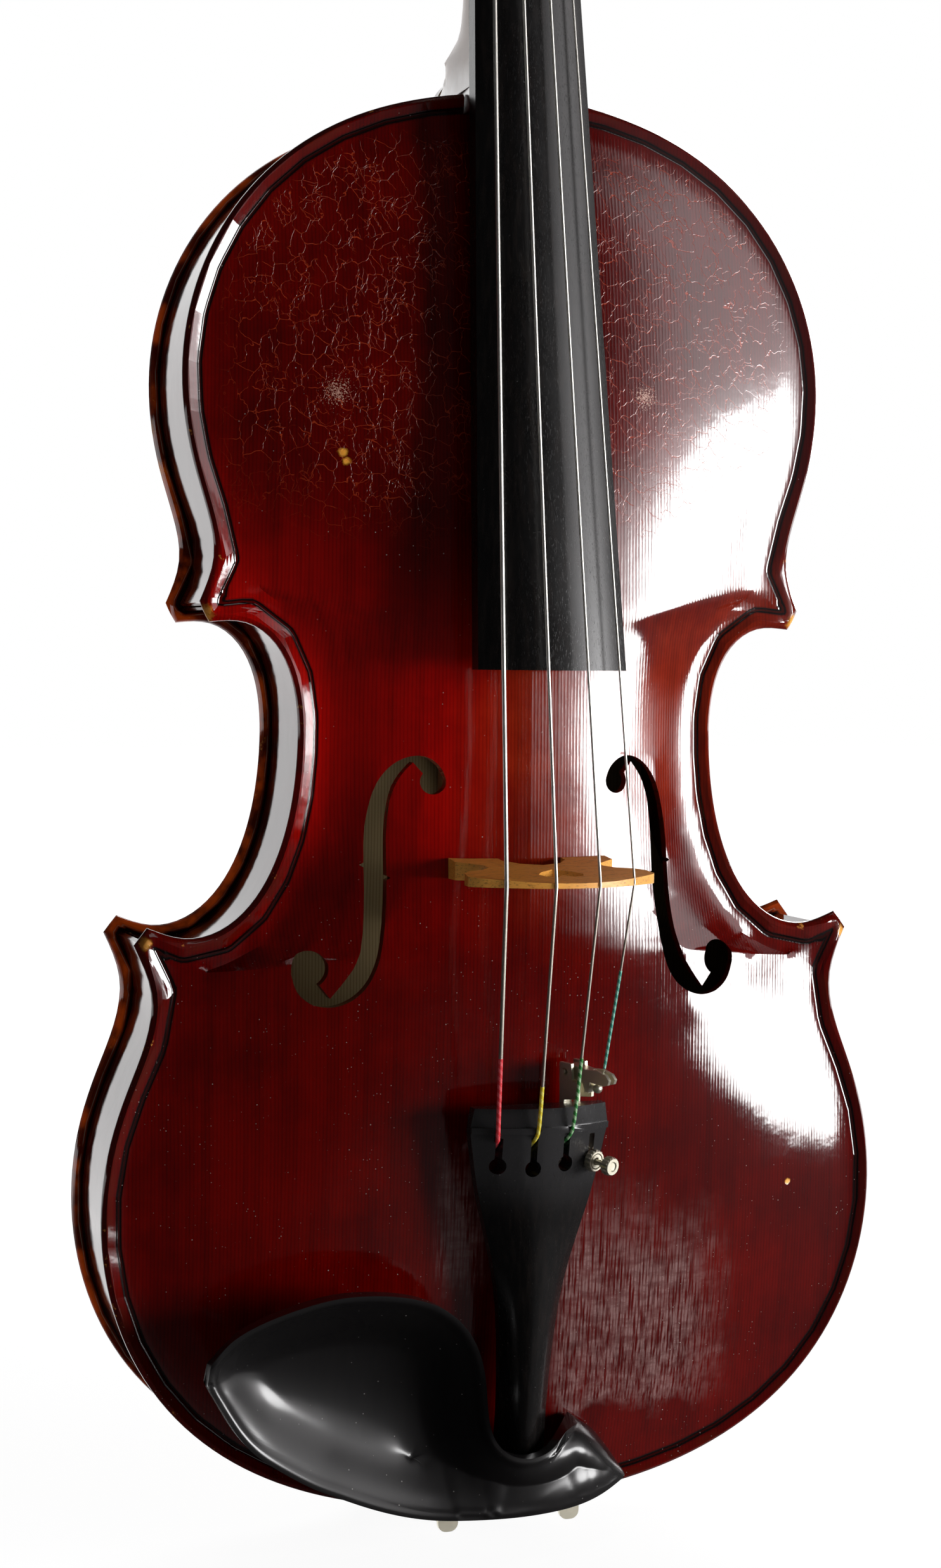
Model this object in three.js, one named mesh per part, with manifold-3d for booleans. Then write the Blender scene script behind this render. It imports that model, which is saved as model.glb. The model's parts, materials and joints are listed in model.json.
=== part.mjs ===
import * as THREE from 'three';
import { mergeVertices } from 'three/addons/utils/BufferGeometryUtils.js';
import Module from 'manifold-3d';

// A full-size viola, standing upright: +Z runs up the body to the scroll, the front faces -Y, and
// +X is the treble side. The origin is the centre of the end button's flat outer face.

const wasm = await Module();
wasm.setup();

// Driving sizes, in millimetres
const bodyLength = 406;
const upperBout = 195.4;
const middleBout = 126.2;
const lowerBout = 237.4;
const ribHeight = 34.4;
const ribThickness = 1.2;
const liningThickness = 2;
const liningHeight = 7;
const edgeOverhang = 2.8;
const edgeThickness = 4.2;
const edgeRound = 1.3;
const purflingInset = 4.4;
const channelInset = 9;
const channelDepth = 0.9;
const gluingLedge = 8.6;
const spineMargin = 22;
const frontArch = 19.8;
const backArch = 18.2;
const frontThickness = 3;
const backThickness = 3.8;
const fit = 0.3;
const overrun = 8;

const stopShare = 0.5483;
const boardClearance = 58.6;
const boardLength = 312;
const boardNutWidth = 24.6;
const boardEndWidth = 44;
const boardEdge = 5.5;
const boardCrown = 42;
const boardHollow = 3;
const boardNutDepth = 8.3;
const boardEndLift = 32.1;
const neckDepth = 14.5;
const heelDepthAbove = 16.5;
const rootDepth = 6.5;
const rootSink = 0.1;
const buttonWidth = 24;
const buttonHeight = 13;
const nutLength = 5.5;
const nutLift = 0.8;

const endButtonReach = 8;
const endButtonRadius = 6.6;
const endButtonNeck = 4;
const endButtonShank = 3.6;
const endButtonDepth = 24;

const boltSides = 20;
const meshTolerance = 0.02;

// Levels that the sizes above set
const bodyBottom = endButtonReach;
const bodyTop = bodyBottom + bodyLength;
const frontGlue = -ribHeight / 2;
const backGlue = ribHeight / 2;
const frontFace = frontGlue - edgeThickness;
const backFace = backGlue + edgeThickness;
const bridgeFace = bodyTop - bodyLength * stopShare;
const boardEndLevel = bridgeFace + boardClearance;
const nutLevel = boardEndLevel + boardLength;
const neckLength = nutLevel - bodyTop;

const ebony = () => new THREE.MeshStandardMaterial({ color: 0x151517, roughness: 0.4, metalness: 0 });
const varnishedSpruce = () => new THREE.MeshStandardMaterial({ color: 0x5a140c, roughness: 0.22, metalness: 0 });
const varnishedMaple = () => new THREE.MeshStandardMaterial({ color: 0x6a1d10, roughness: 0.22, metalness: 0 });
const rawSpruce = () => new THREE.MeshStandardMaterial({ color: 0xcdb083, roughness: 0.8, metalness: 0 });
const neckMaple = () => new THREE.MeshStandardMaterial({ color: 0xc79a7c, roughness: 0.45, metalness: 0 });
const bridgeMaple = () => new THREE.MeshStandardMaterial({ color: 0xb4781e, roughness: 0.5, metalness: 0 });
const nickel = () => new THREE.MeshStandardMaterial({ color: 0xc8c3af, roughness: 0.3, metalness: 1 });
const steelWire = () => new THREE.MeshStandardMaterial({ color: 0xb8b4a8, roughness: 0.35, metalness: 1 });
const cork = () => new THREE.MeshStandardMaterial({ color: 0x9a6b42, roughness: 0.9, metalness: 0 });
const silk = (color) => () => new THREE.MeshStandardMaterial({ color, roughness: 0.8, metalness: 0 });

const viola = new THREE.Group();

function addMesh(name, shape, material) {
  const geometry = shape.isBufferGeometry ? shape : toGeometry(shape);
  const mesh = new THREE.Mesh(geometry, material());
  mesh.name = name;
  viola.add(mesh);
  return mesh;
}

// Shared geometry helpers

function signedVolume(positions, triangles) {
  let volume = 0;
  for (const [a, b, c] of triangles) {
    const [p, q, r] = [positions[a], positions[b], positions[c]];
    volume += p.clone().cross(q).dot(r);
  }
  return volume / 6;
}

// A closed geometry from points and triangles, turned to face outwards
function closedGeometry(positions, triangles) {
  const sound = triangles.filter(([a, b, c]) => {
    const [p, q, r] = [positions[a], positions[b], positions[c]];
    return !(p.equals(q) || q.equals(r) || r.equals(p));
  });
  const inward = signedVolume(positions, sound) < 0;
  const index = [];
  for (const [a, b, c] of sound) index.push(a, inward ? c : b, inward ? b : c);
  const geometry = new THREE.BufferGeometry().setFromPoints(positions);
  geometry.setIndex(index);
  geometry.computeVertexNormals();
  return geometry;
}

function toSolid(geometry) {
  const bare = geometry.clone();
  bare.deleteAttribute('normal');
  bare.deleteAttribute('uv');
  const merged = mergeVertices(bare);
  const index = [];
  const source = merged.index.array;
  for (let i = 0; i < source.length; i += 3) {
    const [a, b, c] = [source[i], source[i + 1], source[i + 2]];
    if (a !== b && b !== c && c !== a) index.push(a, b, c);
  }
  return new wasm.Manifold(new wasm.Mesh({
    numProp: 3,
    vertProperties: new Float32Array(merged.attributes.position.array),
    triVerts: new Uint32Array(index),
  }));
}

function toGeometry(solid) {
  const mesh = solid.simplify(meshTolerance).getMesh();
  const geometry = new THREE.BufferGeometry();
  geometry.setAttribute('position', new THREE.BufferAttribute(new Float32Array(mesh.vertProperties), 3));
  geometry.setIndex(Array.from(mesh.triVerts));
  geometry.computeVertexNormals();
  return geometry;
}

// Triangles over a flat outline, running the same way round as its points
function flatFaces(outline) {
  const area = (points) => THREE.ShapeUtils.area(points);
  const faces = THREE.ShapeUtils.triangulateShape(outline, []);
  const turned = faces.reduce((sum, face) => sum + area(face.map((i) => outline[i])), 0);
  const same = turned > 0 === area(outline) > 0;
  return same ? faces : faces.map(([i, j, k]) => [i, k, j]);
}

function capFaces(ring) {
  const normal = new THREE.Vector3();
  ring.forEach((point, i) => {
    const next = ring[(i + 1) % ring.length];
    normal.x += (point.y - next.y) * (point.z + next.z);
    normal.y += (point.z - next.z) * (point.x + next.x);
    normal.z += (point.x - next.x) * (point.y + next.y);
  });
  normal.normalize();
  const side = Math.abs(normal.x) < 0.7 ? new THREE.Vector3(1, 0, 0) : new THREE.Vector3(0, 1, 0);
  const across = side.clone().cross(normal).normalize();
  const up = normal.clone().cross(across);
  return flatFaces(ring.map((point) => new THREE.Vector2(point.dot(across), point.dot(up))));
}

// A closed body through rings of points, each ring with the same number of points
function loft(rings) {
  const count = rings[0].length;
  const positions = rings.flat();
  const triangles = [];
  for (let r = 0; r + 1 < rings.length; r += 1) {
    for (let i = 0; i < count; i += 1) {
      const j = (i + 1) % count;
      const [a, b, c, d] = [r * count + i, r * count + j, (r + 1) * count + j, (r + 1) * count + i];
      triangles.push([a, b, d], [b, c, d]);
    }
  }
  const last = (rings.length - 1) * count;
  for (const [i, j, k] of capFaces(rings[0])) triangles.push([i, k, j]);
  for (const face of capFaces(rings[rings.length - 1])) triangles.push(face.map((i) => i + last));
  return closedGeometry(positions, triangles);
}

// A plan outline in X and Z, carried from one Y level to another
function planPrism(outline, yFrom, yTo) {
  const level = (y) => outline.map((point) => new THREE.Vector3(point.x, y, point.y));
  return loft([level(yFrom), level(yTo)]);
}

// A side outline in Y (as x) and Z (as y), carried from one X to another
function sidePrism(outline, xFrom, xTo) {
  const level = (x) => outline.map((point) => new THREE.Vector3(x, point.x, point.y));
  return loft([level(xFrom), level(xTo)]);
}

// A turned body about the line from start along axis, from [radius, distance] pairs
function turned(profile, start, axis, sides) {
  const points = profile.map(([radius, distance]) => new THREE.Vector2(radius, distance));
  const geometry = new THREE.LatheGeometry(points, sides);
  const turn = new THREE.Quaternion().setFromUnitVectors(new THREE.Vector3(0, 1, 0), axis.clone().normalize());
  geometry.applyQuaternion(turn);
  geometry.translate(start.x, start.y, start.z);
  return geometry;
}

// A path that a tube follows point by point
class Route extends THREE.Curve {
  constructor(points) {
    super();
    this.points = points;
  }

  getPoint(t) {
    const place = t * (this.points.length - 1);
    const i = Math.min(Math.floor(place), this.points.length - 2);
    return this.points[i].clone().lerp(this.points[i + 1], place - i);
  }

  getPointAt(u) {
    return this.getPoint(u);
  }

  getTangentAt(u) {
    const step = 0.5 / (this.points.length - 1);
    const ahead = this.getPoint(Math.min(u + step, 1));
    return ahead.sub(this.getPoint(Math.max(u - step, 0))).normalize();
  }
}

function tube(points, radius, sides) {
  const section = new THREE.Shape();
  for (let i = 0; i < sides; i += 1) {
    const angle = (i / sides) * Math.PI * 2;
    const [x, y] = [Math.cos(angle) * radius, Math.sin(angle) * radius];
    if (i === 0) section.moveTo(x, y);
    else section.lineTo(x, y);
  }
  section.closePath();
  return new THREE.ExtrudeGeometry(section, {
    steps: points.length - 1,
    extrudePath: new Route(points),
    bevelEnabled: false,
  });
}

function union(parts) {
  return parts.map((part) => (part.isBufferGeometry ? toSolid(part) : part)).reduce((a, b) => a.add(b));
}

function cut(body, cutters) {
  const solid = body.isBufferGeometry ? toSolid(body) : body;
  return cutters.reduce((rest, cutter) => rest.subtract(cutter.isBufferGeometry ? toSolid(cutter) : cutter), solid);
}

const mirrorX = (point) => new THREE.Vector2(-point.x, point.y);
const sided = (line, side) => line.map((point) => new THREE.Vector2(point.x * side, point.y));

// Lines in the plan, as lists of points

function lengthsOf(line) {
  const lengths = [0];
  for (let i = 1; i < line.length; i += 1) lengths.push(lengths[i - 1] + line[i].distanceTo(line[i - 1]));
  return lengths;
}

function pointAlong(line, lengths, distance) {
  let i = 1;
  while (i < line.length - 1 && lengths[i] < distance) i += 1;
  const span = lengths[i] - lengths[i - 1] || 1;
  return line[i - 1].clone().lerp(line[i], (distance - lengths[i - 1]) / span);
}

// The stretch of a line between two shares of its length, as evenly spaced points
function stretch(line, fromShare, toShare, count) {
  const lengths = lengthsOf(line);
  const whole = lengths[lengths.length - 1];
  const points = [];
  for (let i = 0; i < count; i += 1) {
    const share = fromShare + (toShare - fromShare) * (i / (count - 1));
    points.push(pointAlong(line, lengths, whole * share));
  }
  return points;
}

function offsetLine(line, distance) {
  return line.map((point, i) => {
    if (distance === 0) return point.clone();
    const before = line[Math.max(i - 1, 0)];
    const after = line[Math.min(i + 1, line.length - 1)];
    const along = after.clone().sub(before).normalize();
    const onJoint = Math.abs(point.x) < edgeThickness * 1e-6;
    if (onJoint) return new THREE.Vector2(0, point.y - Math.sign(along.x) * distance);
    return new THREE.Vector2(point.x + along.y * distance, point.y - along.x * distance);
  });
}

function extended(line, reach, atStart) {
  const points = line.slice();
  const [tip, next] = atStart ? [line[0], line[1]] : [line[line.length - 1], line[line.length - 2]];
  const beyond = tip.clone().add(tip.clone().sub(next).setLength(reach));
  if (atStart) points.unshift(beyond);
  else points.push(beyond);
  return points;
}

// Where the end of one line first meets the start of the next
function crossing(first, second) {
  for (let i = first.length - 1; i > 0; i -= 1) {
    for (let j = 0; j + 1 < second.length; j += 1) {
      const [p, q, r, s] = [first[i - 1], first[i], second[j], second[j + 1]];
      const [u, v, w] = [q.clone().sub(p), s.clone().sub(r), r.clone().sub(p)];
      const det = u.x * v.y - u.y * v.x;
      if (Math.abs(det) < Number.EPSILON) continue;
      const a = (w.x * v.y - w.y * v.x) / det;
      const b = (w.x * u.y - w.y * u.x) / det;
      if (a >= 0 && a <= 1 && b >= 0 && b <= 1) return { first: i, second: j + 1, point: p.add(u.multiplyScalar(a)) };
    }
  }
  return null;
}

// The outline, one half: each bout is two Bezier curves that meet at its widest or narrowest place
const boutShares = {
  upperWidest: 0.798,
  middleNarrowest: 0.554,
  lowerWidest: 0.2207,
  topHandle: 0.754,
  bottomHandle: 0.8706,
  upperAboveWidest: 0.0812,
  upperBelowWidest: 0.0952,
  middleAboveNarrowest: 0.0716,
  middleBelowNarrowest: 0.1345,
  lowerAboveWidest: 0.1065,
  lowerBelowWidest: 0.0719,
};
// Corner tips: share of the bout's half width, share of the body length, then the handle at the tip
const cornerShares = {
  upperOuter: [0.9443, 0.6397, -0.0392, 0.0403],
  upperInner: [0.9103, 0.6263, -0.0227, 0.0132],
  lowerInner: [0.8913, 0.4187, -0.0358, -0.0304],
  lowerOuter: [0.9237, 0.4066, -0.0472, -0.0572],
};
const outlineSteps = 40;

const planPoint = (x, share) => new THREE.Vector2(x, bodyBottom + bodyLength * share);

function cornerTip([widthShare, heightShare], bout) {
  return planPoint((bout / 2) * widthShare, heightShare);
}

function cornerHandle(shares, bout) {
  const tip = cornerTip(shares, bout);
  return new THREE.Vector2(tip.x + bodyLength * shares[2], tip.y + bodyLength * shares[3]);
}

function boutLine(pieces) {
  const points = [];
  for (const piece of pieces) {
    const sampled = new THREE.CubicBezierCurve(...piece).getSpacedPoints(outlineSteps);
    points.push(...(points.length ? sampled.slice(1) : sampled));
  }
  return points;
}

const raised = (point, share) => new THREE.Vector2(point.x, point.y + bodyLength * share);
const topCentre = planPoint(0, 1);
const bottomCentre = planPoint(0, 0);
const upperWidest = planPoint(upperBout / 2, boutShares.upperWidest);
const middleNarrowest = planPoint(middleBout / 2, boutShares.middleNarrowest);
const lowerWidest = planPoint(lowerBout / 2, boutShares.lowerWidest);

const outlineBouts = {
  upper: boutLine([
    [
      topCentre,
      planPoint((upperBout / 2) * boutShares.topHandle, 1),
      raised(upperWidest, boutShares.upperAboveWidest),
      upperWidest,
    ],
    [
      upperWidest,
      raised(upperWidest, -boutShares.upperBelowWidest),
      cornerHandle(cornerShares.upperOuter, upperBout),
      cornerTip(cornerShares.upperOuter, upperBout),
    ],
  ]),
  middle: boutLine([
    [
      cornerTip(cornerShares.upperInner, upperBout),
      cornerHandle(cornerShares.upperInner, upperBout),
      raised(middleNarrowest, boutShares.middleAboveNarrowest),
      middleNarrowest,
    ],
    [
      middleNarrowest,
      raised(middleNarrowest, -boutShares.middleBelowNarrowest),
      cornerHandle(cornerShares.lowerInner, lowerBout),
      cornerTip(cornerShares.lowerInner, lowerBout),
    ],
  ]),
  lower: boutLine([
    [
      cornerTip(cornerShares.lowerOuter, lowerBout),
      cornerHandle(cornerShares.lowerOuter, lowerBout),
      raised(lowerWidest, boutShares.lowerAboveWidest),
      lowerWidest,
    ],
    [
      lowerWidest,
      raised(lowerWidest, -boutShares.lowerBelowWidest),
      planPoint((lowerBout / 2) * boutShares.bottomHandle, 0),
      bottomCentre,
    ],
  ]),
};

function trimmedPair(first, second, inset) {
  const meet = crossing(first, second);
  if (meet) {
    return [
      [...first.slice(0, meet.first), meet.point],
      [meet.point.clone(), ...second.slice(meet.second)],
    ];
  }
  const back = (line) => Math.min(inset / lengthsOf(line).pop(), 0.5);
  return [
    stretch(first, 0, 1 - back(first), first.length),
    stretch(second, back(second), 1, second.length),
  ];
}

// The half outline moved inwards, with its corners kept in step
function insetBouts(inset) {
  const upper = offsetLine(outlineBouts.upper, inset);
  const middle = offsetLine(outlineBouts.middle, inset);
  const lower = offsetLine(outlineBouts.lower, inset);
  const [upperTrimmed, middleStart] = trimmedPair(upper, middle, inset);
  const [middleTrimmed, lowerTrimmed] = trimmedPair(middleStart, lower, inset);
  return { upper: upperTrimmed, middle: middleTrimmed, lower: lowerTrimmed };
}

const ringCounts = { upper: 16, middle: 13, lower: 18 };

function insetRing(inset) {
  const bouts = insetBouts(inset);
  return [
    ...stretch(bouts.upper, 0, 1, ringCounts.upper),
    ...stretch(bouts.middle, 0, 1, ringCounts.middle),
    ...stretch(bouts.lower, 0, 1, ringCounts.lower),
  ];
}

// Arched plates

const archShares = { upperCorner: 0.633, lowerCorner: 0.41, recurve: 0.52, lengthwise: 2.4 };

// The points of the centre joint that the ring's points lean towards
function spineLevels() {
  const marks = [
    bodyTop - spineMargin,
    bodyBottom + bodyLength * archShares.upperCorner,
    bodyBottom + bodyLength * archShares.lowerCorner,
    bodyBottom + spineMargin,
  ];
  const counts = [ringCounts.upper, ringCounts.middle, ringCounts.lower];
  return counts.flatMap((count, bout) => {
    const levels = [];
    for (let i = 0; i < count; i += 1) {
      levels.push(THREE.MathUtils.lerp(marks[bout], marks[bout + 1], i / (count - 1)));
    }
    return levels;
  });
}

const spine = spineLevels();
const crossProfile = (t) => (1 - Math.cos(Math.PI * t ** archShares.recurve)) / 2;

function spineRise(level, arch) {
  const channel = edgeThickness - channelDepth;
  const middle = (bodyTop + bodyBottom) / 2;
  const reach = bodyLength / 2 - channelInset;
  const away = Math.min(Math.abs(level - middle) / reach, 1);
  return (arch - channel) * (1 - away ** archShares.lengthwise);
}

const outerSteps = [1, 0.72, 0.46, 0.22];
const innerSteps = [0.28, 0.6, 1];

// One half of a plate: side is +1 for treble, outward is the Y direction of its arched face
function plateHalf(side, outward, glue, arch, thickness) {
  const channelRing = insetRing(channelInset);
  const channel = edgeThickness - channelDepth;
  const rings = [];
  const addRing = (points, heights) => {
    rings.push(points.map((point, i) => {
      const height = Array.isArray(heights) ? heights[i] : heights;
      return new THREE.Vector3(point.x * side, glue + outward * height, point.y);
    }));
  };
  const leaning = (t) => channelRing.map((point, i) => {
    return new THREE.Vector2(point.x * (1 - t), THREE.MathUtils.lerp(point.y, spine[i], t));
  });
  const archHeights = (t) => spine.map((level) => channel + spineRise(level, arch) * crossProfile(t));
  for (const t of outerSteps) addRing(leaning(t), archHeights(t));
  addRing(channelRing, channel);
  addRing(insetRing(purflingInset), edgeThickness - channelDepth / 2);
  addRing(insetRing(edgeRound), edgeThickness);
  addRing(insetRing(0), edgeThickness - edgeRound);
  addRing(insetRing(0), edgeRound);
  addRing(insetRing(edgeRound / 2), 0);
  addRing(insetRing(gluingLedge), 0);
  for (const t of innerSteps) addRing(leaning(t), archHeights(t).map((height) => Math.max(height - thickness, 0)));

  const count = spine.length;
  const positions = rings.flat();
  const triangles = [];
  const at = (ring, i) => ring * count + i;
  const last = rings.length - 1;
  for (let i = 0; i + 1 < count; i += 1) {
    for (let ring = 0; ring < last; ring += 1) {
      triangles.push([at(ring, i), at(ring, i + 1), at(ring + 1, i)]);
      triangles.push([at(ring, i + 1), at(ring + 1, i + 1), at(ring + 1, i)]);
    }
    triangles.push([at(last, i), at(last, i + 1), at(0, i)]);
    triangles.push([at(last, i + 1), at(0, i + 1), at(0, i)]);
  }
  for (const end of [0, count - 1]) {
    const section = rings.map((ring) => new THREE.Vector2(ring[end].y, ring[end].z));
    for (const [a, b, c] of flatFaces(section)) {
      const face = end === 0 ? [a, b, c] : [a, c, b];
      triangles.push(face.map((ring) => at(ring, end)));
    }
  }
  return closedGeometry(positions, triangles);
}

// The sound holes

const soundHoleLength = 70;
const soundHoleOffset = 43.4;
const soundHoleLift = 1.8;
const upperEyeRadius = 3.6;
const lowerEyeRadius = 5.1;
const nickDepth = 1.1;
const nickHalf = 1.3;
// Places on the hole, as shares of its length from its middle: across, then up
const holeShares = {
  upperEye: [-0.223, 0.36],
  lowerEye: [0.27, -0.383],
  outerNick: [0.042, 0.026],
  innerNick: [-0.043, -0.024],
  outerSide: [
    [-0.273, 0.36], [-0.259, 0.41], [-0.211, 0.454], [-0.149, 0.464], [-0.077, 0.434], [-0.016, 0.363],
    [0.023, 0.247], [0.04, 0.111], [0.043, -0.074], [0.057, -0.246], [0.097, -0.377], [0.19, -0.499],
  ],
  innerSide: [
    [0.343, -0.396], [0.32, -0.474], [0.259, -0.524], [0.18, -0.536], [0.1, -0.506], [0.037, -0.446],
    [-0.003, -0.353], [-0.03, -0.203], [-0.043, -0.031], [-0.044, 0.14], [-0.06, 0.286], [-0.096, 0.377],
    [-0.147, 0.437],
  ],
  lowerWing: [0.227, -0.453],
  upperWing: [-0.18, 0.397],
};

function holePoint([across, up]) {
  const level = bridgeFace + soundHoleLift + up * soundHoleLength;
  return new THREE.Vector2(soundHoleOffset + across * soundHoleLength, level);
}

function circlePlan(centre, radius, sides) {
  const points = [];
  for (let i = 0; i < sides; i += 1) {
    const angle = (i / sides) * Math.PI * 2;
    points.push(new THREE.Vector2(centre.x + radius * Math.cos(angle), centre.y + radius * Math.sin(angle)));
  }
  return points;
}

function nickPlan(centre, direction) {
  return [
    new THREE.Vector2(centre.x - direction * nickDepth, centre.y + nickHalf),
    new THREE.Vector2(centre.x + direction * nickDepth, centre.y),
    new THREE.Vector2(centre.x - direction * nickDepth, centre.y - nickHalf),
  ];
}

function soundHoleCutter(side) {
  const curved = (shares) => new THREE.SplineCurve(shares.map(holePoint)).getPoints((shares.length - 1) * 2);
  const stem = [
    ...curved(holeShares.outerSide),
    holePoint(holeShares.lowerWing),
    holePoint(holeShares.lowerEye),
    ...curved(holeShares.innerSide),
    holePoint(holeShares.upperWing),
    holePoint(holeShares.upperEye),
  ];
  const outlines = [
    stem,
    circlePlan(holePoint(holeShares.upperEye), upperEyeRadius, boltSides),
    circlePlan(holePoint(holeShares.lowerEye), lowerEyeRadius, boltSides),
    nickPlan(holePoint(holeShares.outerNick), 1),
    nickPlan(holePoint(holeShares.innerNick), -1),
  ];
  return union(outlines.map((outline) => planPrism(sided(outline, side), frontGlue - frontArch - overrun, 0)));
}

// Plates, with their sound holes and the cuts for the neck and saddle

const boardSlope = (boardNutDepth + boardEndLift) / boardLength;
const neckAngle = Math.atan(boardSlope);
const boardEdgeAt = (level) => frontFace + boardNutDepth - (nutLevel - level) * boardSlope;
const boardHalfAt = (level) => {
  return THREE.MathUtils.lerp(boardNutWidth, boardEndWidth, (nutLevel - level) / boardLength) / 2;
};
const neckFrontAt = (level) => boardEdgeAt(level) + boardEdge;

// The foot of the neck, let into the body; a clearance widens it for the cuts in its neighbours
function neckRoot(clearance) {
  const cutting = clearance > 0;
  const front = neckFrontAt(bodyTop + edgeRound);
  const [nearest, furthest] = cutting ? [front - frontArch, backGlue + overrun] : [front, backGlue - rootSink];
  const halfAt = (y) => {
    const half = THREE.MathUtils.lerp(boardHalfAt(bodyTop), buttonWidth / 2, (y - front) / (backGlue - front));
    return half - fit + (cutting ? clearance : -rootSink);
  };
  const section = (level) => [
    new THREE.Vector3(-halfAt(nearest), nearest, level),
    new THREE.Vector3(halfAt(nearest), nearest, level),
    new THREE.Vector3(halfAt(furthest), furthest, level),
    new THREE.Vector3(-halfAt(furthest), furthest, level),
  ];
  return loft([section(bodyTop - rootDepth - clearance), section(bodyTop + (cutting ? overrun : edgeRound))]);
}

const saddleHalf = 11.2;
const saddleHeight = 7;
const saddleLift = 3.6;

function saddleNotch() {
  const [half, top] = [saddleHalf + fit, bodyBottom + saddleHeight + fit];
  const outline = [
    new THREE.Vector2(-half, bodyBottom - overrun),
    new THREE.Vector2(half, bodyBottom - overrun),
    new THREE.Vector2(half, top),
    new THREE.Vector2(-half, top),
  ];
  return planPrism(outline, frontFace - overrun, frontGlue + overrun);
}

const frontShell = [];
for (const [name, side] of [['front_plate_bass', -1], ['front_plate_treble', 1]]) {
  const plate = toSolid(plateHalf(side, -1, frontGlue, frontArch, frontThickness));
  frontShell.push(plate);
  addMesh(name, cut(plate, [soundHoleCutter(side), neckRoot(fit), saddleNotch()]), varnishedSpruce);
}

const buttonSides = 10;

// The button at the top of the back, under the heel of the neck
function backButton(side) {
  const foot = bodyTop - channelInset;
  const points = [new THREE.Vector2(0, foot), new THREE.Vector2((buttonWidth / 2) * side, foot)];
  for (let i = 0; i <= buttonSides; i += 1) {
    const angle = (i / buttonSides) * Math.PI / 2;
    const across = (buttonWidth / 2) * Math.cos(angle) * side;
    points.push(new THREE.Vector2(across, bodyTop + buttonHeight * Math.sin(angle)));
  }
  return planPrism(points, backGlue, backFace);
}

const backShell = [];
for (const [name, side] of [['back_plate_bass', -1], ['back_plate_treble', 1]]) {
  const plate = union([plateHalf(side, 1, backGlue, backArch, backThickness), backButton(side)]);
  backShell.push(plate);
  addMesh(name, plate, varnishedMaple);
}

// Ribs with their linings, and the blocks inside the corners and ends

const blockReach = 24;
const blockBelly = 4;
const neckBlockDepth = 22;
const neckBlockHalf = 29;
const endBlockDepth = 17;
const endBlockHalf = 25;
const ribSteps = 11;

const ribOuter = edgeOverhang;
const ribInner = edgeOverhang + ribThickness;
const blockLine = ribInner + fit * 1.2;

function bandPlan(outer, inner) {
  return [...outer, ...inner.slice().reverse()];
}

function shareAtX(line, x, fromStart) {
  const lengths = lengthsOf(line);
  const whole = lengths[lengths.length - 1];
  for (let i = 1; i < line.length; i += 1) {
    const j = fromStart ? i : line.length - 1 - i;
    if (Math.abs(line[j].x) >= x) return lengths[j] / whole;
  }
  return fromStart ? 0 : 1;
}

// A rib and its two linings, from lines that share their ends
function ribSolid(outer, inner, liningFrom, liningTo, side) {
  const parts = [planPrism(sided(bandPlan(outer, inner), side), frontGlue, backGlue)];
  const glued = offsetLine(inner, -ribThickness / 4);
  const face = offsetLine(inner, liningThickness);
  const band = bandPlan(stretch(glued, liningFrom, liningTo, ribSteps), stretch(face, liningFrom, liningTo, ribSteps));
  parts.push(planPrism(sided(band, side), frontGlue, frontGlue + liningHeight));
  parts.push(planPrism(sided(band, side), backGlue - liningHeight, backGlue));
  return union(parts);
}

const offsets = (bout, distance) => offsetLine(outlineBouts[bout], distance);

function shareOf(line, distance) {
  return Math.min(distance / lengthsOf(line).pop(), 1);
}

// The middle rib ends against the inner faces of its two neighbours
function middleRibLine(distance) {
  let line = offsets('middle', distance);
  const above = crossing(extended(offsets('upper', blockLine), overrun, false), extended(line, overrun, true));
  if (above) line = [above.point, ...line.slice(Math.max(above.second - 1, 0))];
  const below = crossing(extended(line, overrun, false), extended(offsets('lower', blockLine), overrun, true));
  if (below) line = [...line.slice(0, below.first), below.point];
  return stretch(line, 0, 1, ribSteps * 2);
}

function cornerBlockPlan(first, second) {
  const meet = crossing(extended(first, overrun, false), extended(second, overrun, true));
  const firstLine = [...first.slice(0, meet.first), meet.point];
  const secondLine = [meet.point, ...second.slice(Math.max(meet.second - 1, 0))];
  const firstPart = stretch(firstLine, 1 - shareOf(firstLine, blockReach), 1, Math.ceil(ribSteps / 2));
  const secondPart = stretch(secondLine, 0, shareOf(secondLine, blockReach), Math.ceil(ribSteps / 2));
  const innerFace = firstPart[0].clone().add(secondPart[secondPart.length - 1]).multiplyScalar(1 / 2);
  innerFace.x -= blockBelly;
  return [...firstPart, ...secondPart.slice(1), innerFace];
}

const endButtonAt = (z) => new THREE.Vector3(0, 0, z);

function endButtonBore() {
  return turned([
    [0, 0],
    [endButtonShank + fit, 0],
    [endButtonShank + fit, bodyLength / 2],
    [0, bodyLength / 2],
  ], endButtonAt(bodyBottom - overrun), new THREE.Vector3(0, 0, 1), boltSides);
}

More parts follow.
